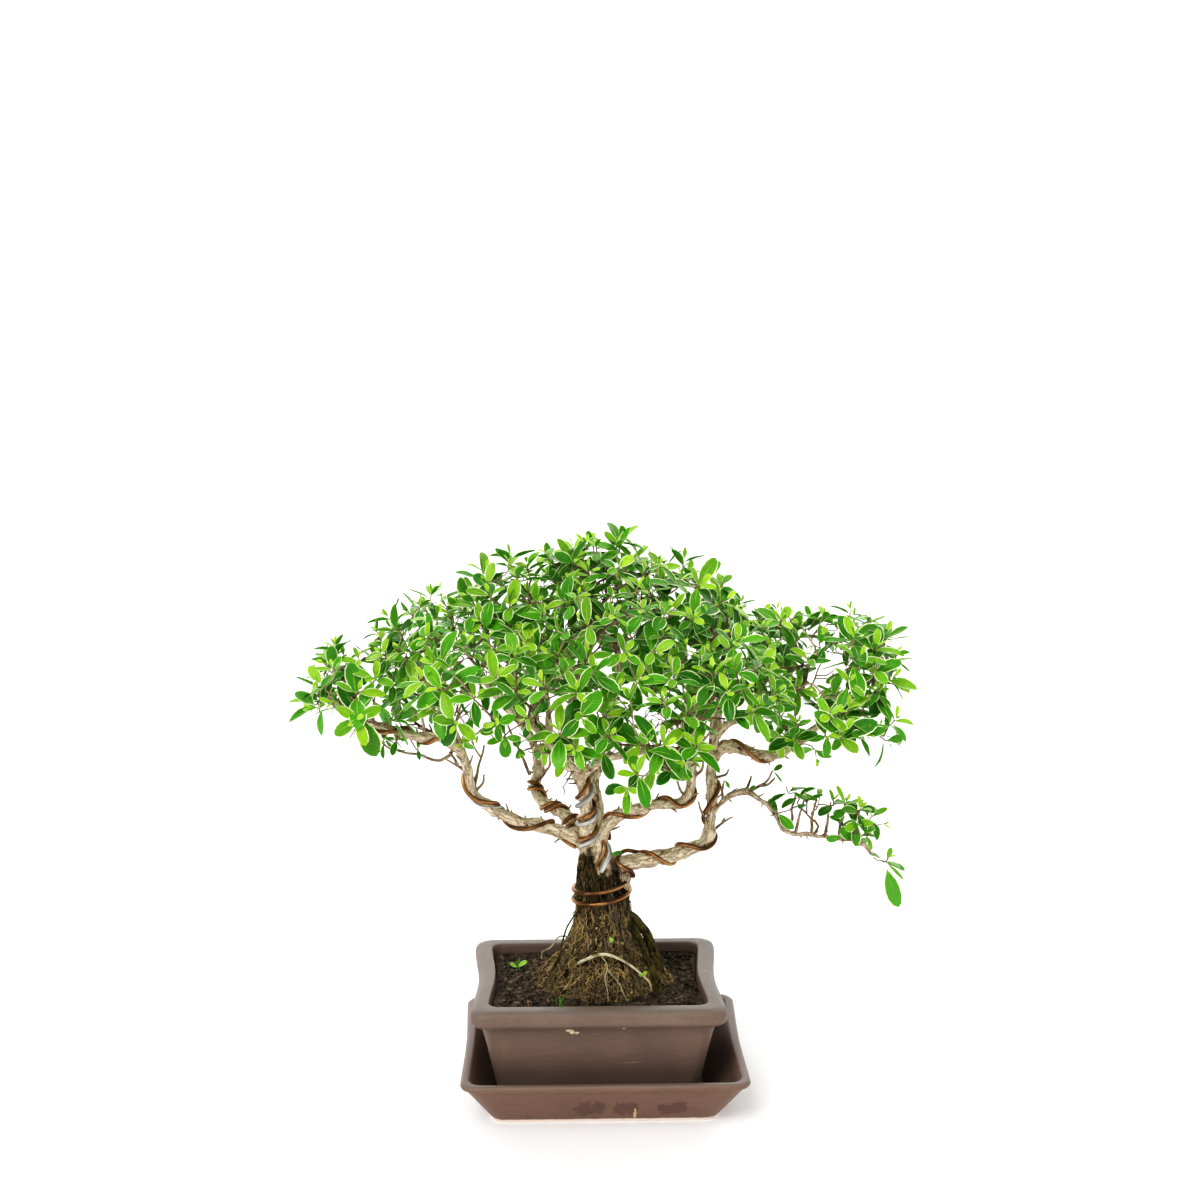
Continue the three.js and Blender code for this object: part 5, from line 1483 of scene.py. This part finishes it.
def limb_radius(limb, share):
    """Radius of the trunk or a limb at shares of its length."""
    if limb != "trunk":
        root, tip, _ = LIMBS[limb]
        return blend(root, tip, share) * MM
    rows = TRUNK_LEVELS.line
    return np.interp(TRUNK_CURVE.at(share)[..., 2], rows[:, 0], rows[:, 2]) + settings("wood").relief * SKIN


def winding(limb, turns, gauge):
    """Points of one run of wire, which winds on a limb or goes through plain points."""
    turns = np.array(turns, float)
    if limb is None:
        return turns * MM
    curve = TRUNK_CURVE if limb == "trunk" else CURVES[limb]
    count = int(abs(turns[-1, 1] - turns[0, 1]) / 360 * STEPS_PER_TURN)
    even = [DEGREES_ALONG, 1]
    share, angle = (Curve(turns * even).at(np.linspace(0, 1, count)) / even).T
    middle, along = curve.at(share), curve.heading(share)
    front = unit(FRONT - along * (along @ FRONT)[:, None])
    side = np.cross(along, front)
    angle = np.radians(angle)[:, None]
    stand_off = limb_radius(limb, share) + (gauge - WIRE_BITE) * MM
    return middle + (front * np.cos(angle) + side * np.sin(angle)) * stand_off[:, None]


class BONSAI_OT_wires(bpy.types.Operator):
    """Wind the training wires round the limbs"""
    bl_idname = "bonsai.wires"
    bl_label = "Wires"

    def execute(self, context):
        look = settings("wire")
        metals = {
            "copper": metal_finish("copper_drawn", look.copper, [c * 0.17 for c in look.copper], 0.26),
            "silver": metal_finish("silver_drawn", look.silver, [c * 0.55 for c in look.silver], 0.42),
        }
        for name, (gauge, runs) in WIRES.items():
            paths = [np.vstack([winding(limb, turns, gauge) for limb, turns in runs])]
            if name in TAILS:
                paths.append(np.array(TAILS[name]) * MM)
            mould = Mould()
            for path in paths:
                curve = Curve(path)
                line = curve.at(curve.shares(WIRE_STEP, 8))
                radii = np.full(len(line), gauge * MM)
                radii[[0, -1]] *= BLUNT
                add_tube(mould, line, radii, WIRE_SIDES)
            metal = name.split("_")[1]
            settle(mould.cast("wound_" + name, [metals[metal]], 60), metal + "_wire", name)
        return {"FINISHED"}


# ---------------------------------------------------------------- leaves and shoots

# Rings of a leaf: places along it, its width there, and round each ring the place across and how far below.
LEAF_STATIONS = np.array([0.0, 0.08, 0.2, 0.37, 0.56, 0.75, 0.91, 1.0])
LEAF_WIDTHS = np.array([0.06, 0.13, 0.45, 0.84, 1.0, 0.92, 0.58, 0.04])
LEAF_ACROSS = np.array([-1, -0.5, 0, 0.5, 1, 0.5, 0, -0.5])
LEAF_UNDER = np.array([0.5, 0, 0, 0, 0.5, 1, 1, 1])
LEAF_THICKNESS = 0.35 * MM
LEAF_ROOM = 4 * MM  # how far past the frame's box a leaf may reach
GROWN_LEAF = 18 * MM
# Vigour of a shoot, and how often each occurs.
VIGOUR = [0.66, 0.8, 0.95, 1.1, 1.28]
VIGOUR_ODDS = [0.1, 0.2, 0.34, 0.23, 0.13]
INSIDE_VIGOUR = 0.9
INSIDE_TONE = 0.55
GOLDEN_ANGLE = math.pi * (3 - math.sqrt(5))
ELLIPSOID_POWER = 1.6
# Shoots stand on two layers of each mass: its scale, how much sparser they are, how low they reach, and how
# deep in another mass they are left out.
CROWN_LAYERS = [(0.93, 1.0, -0.5, 0.84), (0.66, 1.35, -0.1, 0.55)]
CROWDED = 0.72


def shoot(place, axis, layer=0, length=0.0, pairs=0):
    """The tip of a shoot. A length or number of pairs of 0 is drawn later."""
    return {
        "place": np.array(place, float), "axis": unit(axis), "layer": layer, "length": length, "pairs": pairs}


def crown_shoots(draw):
    """Where shoots end: an even spiral over each mass, and a sparser one inside it."""
    look = settings("leaves")
    shoots = []
    masses = [(np.array(middle) * MM, np.array(half) * MM) for middle, half in FOLIAGE]
    for which, (middle, full) in enumerate(masses):
        others = masses[:which] + masses[which + 1:]
        for layer, (scale, loose, lowest, deep) in enumerate(CROWN_LAYERS):
            half = full * scale
            spacing = look.spacing * loose
            faces = [(half[a] * half[b]) ** ELLIPSOID_POWER for a, b in ((0, 1), (0, 2), (1, 2))]
            area = 4 * math.pi * (sum(faces) / 3) ** (1 / ELLIPSOID_POWER)
            count = math.ceil(area / (0.8 * spacing ** 2))
            for k in range(count):
                height = 1 - 2 * (k + 0.5) / count
                if height < lowest:
                    break
                turn = k * GOLDEN_ANGLE + which + layer
                flat = math.sqrt(1 - height ** 2)
                out = np.array([flat * math.cos(turn), flat * math.sin(turn), height])
                place = middle + out * half + draw.normal(0, 0.16, 3) * spacing
                buried = min(np.linalg.norm((place - m) / h) for m, h in others) < deep
                near = (CROWDED * spacing) ** 2
                crowded = any(np.sum((place - other["place"]) ** 2) < near for other in shoots)
                if not buried and not crowded:
                    axis = unit(out / half) * 0.75 + UP * 0.5 + draw.normal(0, 0.36, 3)
                    shoots.append(shoot(place, axis, layer))
    return shoots


def leaf_points(base, heading, facing, length, width, curl, fold, wave):
    """Points of many leaves at once: (leaf, station, around, xyz)."""
    side = np.cross(facing, heading)
    t = LEAF_STATIONS[None, :]
    bend = np.maximum(curl, 1e-3)[:, None]
    ahead = length[:, None] * np.sin(bend * t) / bend
    drop = -length[:, None] * (1 - np.cos(bend * t)) / bend
    half = 0.5 * width[:, None] * LEAF_WIDTHS[None, :]
    across = LEAF_ACROSS[None, None, :]
    sideways = half[..., None] * across
    ripple = 0.1 * np.sin(7 * t + wave[:, None])[..., None] * half[..., None] * across * np.abs(across)
    lift = drop[..., None] + fold[:, None, None] * np.abs(sideways) + ripple
    lift = lift - (LEAF_UNDER > 0.9) * LEAF_THICKNESS * np.minimum(1, half / half.max())[..., None]
    return (
        base[:, None, None] + ahead[..., None, None] * heading[:, None, None]
        + sideways[..., None] * side[:, None, None] + lift[..., None] * facing[:, None, None])


def add_leaves(mould, leaves):
    """Casts a list of leaves into the mould, all at once, without those that reach out of the frame's box."""
    fields = {key: np.array([leaf[key] for leaf in leaves]) for key in leaves[0]}
    youth, tone = fields.pop("youth"), fields.pop("tone")
    points = leaf_points(**fields)
    low, high = (np.array(corner) for corner in CAD_BOX)
    fits = ((points > low - LEAF_ROOM) & (points < high + LEAF_ROOM)).all(axis=(1, 2, 3))
    points = points[fits]
    count, stations, around = points.shape[:3]
    inner = stations - 2
    size = inner * around + 2
    rings = points[:, 1:-1].reshape(count, -1, 3)
    tips = np.stack([points[:, 0].mean(1), points[:, -1].mean(1)], 1)
    caps = np.vstack([
        cap_faces(0, around, size - 2, True), cap_faces((inner - 1) * around, around, size - 1, False)])
    offset = (np.arange(count) * size)[:, None, None]
    across = np.tile([*np.tile(LEAF_ACROSS, inner), 0, 0], count)
    along = np.tile([*np.repeat(LEAF_STATIONS[1:-1], around), 0, 1], count)
    under = np.tile([*np.tile(LEAF_UNDER, inner), 0.5, 0.5], count)
    youth, tone = np.repeat(youth[fits], size), np.repeat(tone[fits], size)
    mould.add(
        np.concatenate([rings, tips], 1),
        [(ring_faces(inner, around) + offset).reshape(-1, 4), (caps + offset).reshape(-1, 3)],
        across=across, along=along, under=under, youth=youth, tone=tone,
        grain=np.stack([across * 4 * MM, along * GROWN_LEAF, tone * 3], -1))


def shoot_leaves(one, draw):
    """The leaves of one shoot: pairs that cross, large and spread below, small and upright at the tip."""
    look = settings("leaves")
    place, axis, layer = one["place"], one["axis"], one["layer"]
    start = unit(np.cross(axis, draw.normal(0, 1, 3)))
    other = np.cross(axis, start)
    first = draw.uniform(0, math.pi)
    pairs = one["pairs"] or 3 + (draw.random() < 0.55)
    leaves = []
    vigour = draw.choice(VIGOUR, p=VIGOUR_ODDS) * (INSIDE_VIGOUR if layer else 1)
    full = one["length"] or look.length * vigour
    fresh = draw.uniform(-0.12, 0.16)
    shade = draw.uniform(-0.35, 0.3)
    for pair in range(pairs):
        inner = pair / max(pairs - 1, 1)
        rise = blend(0.1, 1.15, inner ** 1.2) + draw.normal(0, 0.1)
        length = full * blend(1.0, 0.36, inner ** 1.6)
        stem = place - axis * (blend(5.5, -0.8, inner) * full / GROWN_LEAF * MM)
        for half_turn in (0, math.pi):
            if pair == 0 and pairs > 2 and draw.random() < 0.12:
                continue
            turn = first + pair * math.pi / 2 + half_turn + draw.normal(0, 0.18)
            flat = start * math.cos(turn) + other * math.sin(turn)
            lift = rise + draw.normal(0, 0.18)
            heading = unit(flat * math.cos(lift) + axis * math.sin(lift) + draw.normal(0, 0.08, 3))
            facing = axis * math.cos(lift) - flat * math.sin(lift) + UP * 0.4 + draw.normal(0, 0.18, 3)
            facing = unit(facing - heading * (facing @ heading))
            grown = length * draw.uniform(0.84, 1.14)
            leaves.append({
                "base": stem, "heading": heading, "facing": facing, "length": grown,
                "width": grown * draw.uniform(0.4, 0.54) * blend(1, 0.78, inner),
                "curl": draw.uniform(0.1, 0.9) * blend(1, 0.4, inner), "fold": draw.uniform(0.05, 0.4),
                "wave": draw.uniform(0, 6.3),
                "youth": np.clip(blend(-0.2, 0.95, inner ** 1.2) + fresh + draw.normal(0, 0.12), 0, 1),
                "tone": np.clip((draw.uniform(0.1, 1) + shade) * (INSIDE_TONE if layer else 1), 0, 1),
            })
    return leaves


def lone_leaf(base, tip, facing, width, youth, tone):
    """One leaf between two places in millimetres."""
    base, tip = np.array(base) * MM, np.array(tip) * MM
    heading = unit(tip - base)
    facing = unit(np.array(facing) - heading * (np.array(facing) @ heading))
    return {
        "base": base, "heading": heading, "facing": facing, "length": float(np.linalg.norm(tip - base)),
        "width": width * MM, "curl": 0.25, "fold": 0.12, "wave": 1.0, "youth": youth, "tone": tone}


# Single leaves: foot, tip, the way the face looks, width, youth, tone.
DROOPING_LEAVES = [
    lone_leaf((177, -22, 155.2), (184, -24, 130.5), (-0.25, 0.95, 0.1), 11, 0.0, 0.7),
    lone_leaf((176.6, -22, 159), (189, -20, 148), (0.3, 0.8, 0.6), 3.2, 0.6, 0.9),
]
LOW_TWIG_LEAVES = [
    lone_leaf((106.2, -8, 215), (112, -12, 209.4), (0.4, -0.3, 0.8), 3, 0.1, 0.6),
    lone_leaf((106.2, -8, 215), (111.6, -9, 219.4), (-0.5, -0.5, 0.7), 5, 0.1, 0.5),
    lone_leaf((76.6, -3, 207.6), (79.6, -5, 203.2), (0.3, -0.8, 0.4), 2.6, 0.2, 0.7),
    lone_leaf((91, -9.6, 203.4), (94.6, -12, 206.6), (-0.4, -0.6, 0.7), 3.2, 0.1, 0.5),
]
SPROUT_LEAVES = [
    lone_leaf((3.6, -15, 162.6), (10.8, -17.5, 166.4), (-0.3, -0.4, 1), 5, 0.0, 0.6),
    lone_leaf((3.6, -15, 162.6), (7, -18, 165), (-0.3, -0.2, 1), 2.4, 0.4, 0.8),
    lone_leaf((3.4, -25, 112.5), (4.8, -28, 109.6), (0, -1, 0.6), 1.3, 0.5, 0.8),
    lone_leaf((3.4, -25, 112.5), (6, -27.5, 111.2), (0, -1, 0.6), 1.2, 0.5, 0.8),
    lone_leaf((24, -30, 88), (26.2, -32, 92.2), (0, -1, 0.5), 2, 0.6, 0.9),
    lone_leaf((24, -30, 88), (21.8, -32, 90.4), (0, -1, 0.5), 1.8, 0.6, 0.9),
    lone_leaf((-56, 20, 74), (-49.5, 18, 79.5), (0.2, -0.4, 1), 4.4, 0.5, 1),
    lone_leaf((-55, 20, 74), (-60, 18, 78), (0.2, -0.4, 1), 3.6, 0.5, 1),
]


LIMB_END = 0.985
FORK_PLACES = (0.25, 0.45, 0.65, 0.85)
DETOUR = 0.4  # how much the way along the twigs counts against the shortest way
TWIG_TIP = 0.42
TWIG_POWER = 0.42  # how fast a twig thickens with the shoots it carries
TWIG_SIDES = 6
TWIG_STEP = 3.2
SPUR_RADII = (0.42, 0.34, 0.28)
SPUR_SIDES = 5
CLEAR_OF_LONE = 9 * MM


def spray_sites():
    """Where each leafy spray leaves its limb."""
    sites = []
    for limb, places in SPRAY_SITES.items():
        for k, share in enumerate(places):
            at = min(share, LIMB_END)
            sites.append({
                "name": f"spray_{limb}_{k + 1}", "root": CURVES[limb].at(at),
                "heading": CURVES[limb].heading(at), "radius": limb_radius(limb, share),
                "shoots": [], "leaves": []})
    return sites


def grow_twigs(site, draw):
    """Twigs that fork from one another towards each shoot, nearest first. Gives their curves and loads."""
    root = site["root"]
    shoots = sorted(site["shoots"], key=lambda one: np.linalg.norm(one["place"] - root))
    stub = Curve([root, root + site["heading"] * 4 * MM])
    twigs = [{"curve": stub, "reach": 0, "load": 0, "parent": None}]
    for one in shoots:
        place, axis = one["place"], one["axis"]
        end = place - axis * 5 * MM
        best = None
        for number, twig in enumerate(twigs):
            for t, point in zip(FORK_PLACES, twig["curve"].at(FORK_PLACES)):
                travelled = twig["reach"] + np.linalg.norm(point - twig["curve"].line[0])
                cost = np.linalg.norm(point - end) + DETOUR * travelled
                if best is None or cost < best[0]:
                    best = (cost, number, t, point, travelled)
        _, parent, t, start, travelled = best
        heading = twigs[parent]["curve"].heading(t)
        gap = np.linalg.norm(end - start)
        knee = start + unit(heading * 0.55 + unit(end - start)) * gap * 0.35 + draw.normal(0, 0.06, 3) * gap
        late = blend(start, end, 0.72) - axis * gap * 0.06 + draw.normal(0, 0.045, 3) * gap + UP * gap * 0.03
        curve = Curve([start, knee, late, end, place])
        twigs.append({"curve": curve, "reach": travelled, "load": 1, "parent": parent})
        carrier = parent
        while carrier is not None:
            twigs[carrier]["load"] += 1
            carrier = twigs[carrier]["parent"]
    return twigs[1:]


def build_spray(site, draw, leaf, bark):
    """A leafy spray: the leaves of its shoots, the twigs that carry them and the spurs on these."""
    mould = Mould()
    leaves = [*site["leaves"]]
    for one in site["shoots"]:
        leaves += shoot_leaves(one, draw)
    add_leaves(mould, leaves)
    for twig in grow_twigs(site, draw):
        curve = twig["curve"]
        share = curve.shares(TWIG_STEP, 5)
        line = curve.at(share)
        thick = min(TWIG_TIP * twig["load"] ** TWIG_POWER * MM, site["radius"])
        radii = blend(thick, TWIG_TIP * MM, share ** 0.8) * (1 + 0.2 * mottle(line, 0.004, 81))
        add_tube(mould, line, radii, TWIG_SIDES, finish=1, twig=draw.uniform(0.4, 1))
        for spur in draw.uniform(0.15, 0.85, draw.integers(0, 3)):
            start, along = curve.at(spur), curve.heading(spur)
            out = unit(np.cross(along, draw.normal(0, 1, 3)) + along * 0.5 + UP * 0.3)
            tip = start + out * draw.uniform(2.5, 7) * MM
            line = np.array([start, blend(start, tip, 0.55) + draw.normal(0, 0.3, 3) * MM, tip])
            add_tube(mould, line, np.array(SPUR_RADII) * MM, SPUR_SIDES, finish=1, twig=0.9)
    settle(mould.cast("leafy_" + site["name"], [leaf, bark], 75), "leaf", site["name"])


class BONSAI_OT_foliage(bpy.types.Operator):
    """Grow the leafy sprays"""
    bl_idname = "bonsai.foliage"
    bl_label = "Foliage"

    def execute(self, context):
        leaf, bark = leaf_finish(), bark_finish()
        draw = np.random.default_rng(SEEDS["foliage"])
        sites = spray_sites()
        hanging, lone = (
            [shoot(np.array(place) * MM, axis, 0, length * MM, pairs) for place, axis, length, pairs in table]
            for table in (HANGING_SHOOTS, LONE_SHOOTS))
        taken = np.array([one["place"] for one in hanging + lone])
        crown = [one for one in crown_shoots(draw)
                 if np.linalg.norm(taken - one["place"], axis=1).min() > CLEAR_OF_LONE]
        low, high = (
            [site for site in sites if (SLIM_LIMB in site["name"]) == hangs] for hangs in (True, False))
        for shoots, open_sites in ((hanging, low), (lone + crown, high)):
            for one in shoots:
                nearest = min(open_sites, key=lambda site: np.linalg.norm(site["root"] - one["place"]))
                nearest["shoots"].append(one)
        low[-1]["leaves"] += DROOPING_LEAVES
        low[0]["leaves"] += LOW_TWIG_LEAVES
        for site in sites:
            if not site["shoots"]:
                raise RuntimeError(f"{site['name']} has no shoots")
            build_spray(site, draw, leaf, bark)
        sprouts = Mould()
        add_leaves(sprouts, SPROUT_LEAVES)
        settle(sprouts.cast("trunk_sprouts", [leaf], 75), "leaf")
        return {"FINISHED"}


# ---------------------------------------------------------------- stage

CAMERA = {"at": (-33.5, -1205.0, 586.2), "down": 12.3, "right": 1.5, "lens": 60, "sensor": 36}
# Lights: where each comes from, its share of the key light's strength, its softness in degrees.
SUNS = {
    "key": ((-0.55, -0.75, 0.95), 1.0, 38), "fill": ((0.9, -0.6, 0.5), 0.3, 70),
    "top": ((0.15, 0.3, 1), 0.35, 60),
}
PLANE_SIZE = 14
FLOOR_AT = (0, 3, 0)
BACKDROP_AT = (0, 7, 3)
# Tone curve: brightness before and after.
TONES = [
    (0.02, 0.008), (0.05, 0.027), (0.09, 0.057), (0.14, 0.11), (0.2, 0.185), (0.3, 0.305), (0.44, 0.475),
    (0.62, 0.68), (0.8, 0.87), (1, 1.05),
]


def plane(name, at, tilt, finish):
    """A flat piece of the studio."""
    bpy.ops.mesh.primitive_plane_add(size=PLANE_SIZE, location=at, rotation=(math.radians(tilt), 0, 0))
    made = bpy.context.object
    made.name = name
    made.data.materials.append(finish)
    return made


class BONSAI_OT_stage(bpy.types.Operator):
    """Set the floor, the lights and the camera"""
    bl_idname = "bonsai.stage"
    bl_label = "Stage"

    def execute(self, context):
        look = settings("stage")
        glow = Finish("backdrop", Emission_Color=(1, 1, 1), Emission_Strength=look.wall).done((0.8, 0.8, 0.8))
        floor = plane("studio_floor", FLOOR_AT, 0, floor_finish())
        wall = plane("studio_backdrop", BACKDROP_AT, 90, glow)
        world = bpy.data.worlds.new("studio")
        bpy.context.scene.world = world
        world.use_nodes = True
        background = world.node_tree.nodes["Background"].inputs
        background["Color"].default_value = (1, 1, 1, 1)
        background["Strength"].default_value = look.sky
        for name, (source, share, softness) in SUNS.items():
            light = bpy.data.lights.new(name, "SUN")
            light.energy, light.angle = look.key * share, math.radians(softness)
            lamp = bpy.data.objects.new(name, light)
            bpy.context.scene.collection.objects.link(lamp)
            lamp.location = x, y, z = source
            lamp.rotation_euler = (math.atan2(math.hypot(x, y), z), 0, math.atan2(y, x) + math.pi / 2)
        lens = bpy.data.cameras.new("view")
        lens.lens, lens.sensor_width = CAMERA["lens"], CAMERA["sensor"]
        camera = bpy.data.objects.new("view", lens)
        bpy.context.scene.collection.objects.link(camera)
        camera.location = [c * MM for c in CAMERA["at"]]
        camera.rotation_euler = (math.radians(90 - CAMERA["down"]), 0, math.radians(-CAMERA["right"]))
        bpy.context.scene.camera = camera
        develop(bpy.context.scene.view_settings)
        return {"FINISHED"}


def develop(view):
    """Sets the tone curve."""
    view.view_transform = "Standard"
    view.use_curve_mapping = True
    view.curve_mapping.extend = "EXTRAPOLATED"
    view.curve_mapping.use_clip = False
    line = view.curve_mapping.curves[3]
    line.points[-1].location = TONES[-1]
    for tone in TONES[:-1]:
        line.points.new(*tone)
    view.curve_mapping.update()


# ---------------------------------------------------------------- the add-on

# In the order in which they run.
OPERATORS = (
    BONSAI_OT_stage, BONSAI_OT_saucer, BONSAI_OT_pot, BONSAI_OT_soil,
    BONSAI_OT_wood, BONSAI_OT_surface_root, BONSAI_OT_root_mat, BONSAI_OT_moss,
    BONSAI_OT_wires, BONSAI_OT_foliage,
)


class BONSAI_PT_pieces(bpy.types.Panel):
    """Lists the pieces and their settings."""
    bl_idname = "BONSAI_PT_pieces"
    bl_label = "Serissa Bonsai"
    bl_space_type = "VIEW_3D"
    bl_region_type = "UI"
    bl_category = "Bonsai"

    def draw(self, context):
        for made in OPERATORS:
            self.layout.operator(made.bl_idname)
        for group, kind in SETTINGS.items():
            box = self.layout.box()
            box.label(text=kind.__doc__)
            for name in kind.__annotations__:
                box.prop(settings(group), name)


def register():
    for group, kind in SETTINGS.items():
        bpy.utils.register_class(kind)
        setattr(bpy.types.Scene, "bonsai_" + group, bpy.props.PointerProperty(type=kind))
    for made in (*OPERATORS, BONSAI_PT_pieces):
        bpy.utils.register_class(made)


def unregister():
    for made in reversed((*OPERATORS, BONSAI_PT_pieces)):
        bpy.utils.unregister_class(made)
    for group, kind in SETTINGS.items():
        delattr(bpy.types.Scene, "bonsai_" + group)
        bpy.utils.unregister_class(kind)


def main():
    register()
    for made in OPERATORS:
        getattr(bpy.ops.bonsai, made.bl_idname.split(".")[1])()


if __name__ == "__main__":
    main()
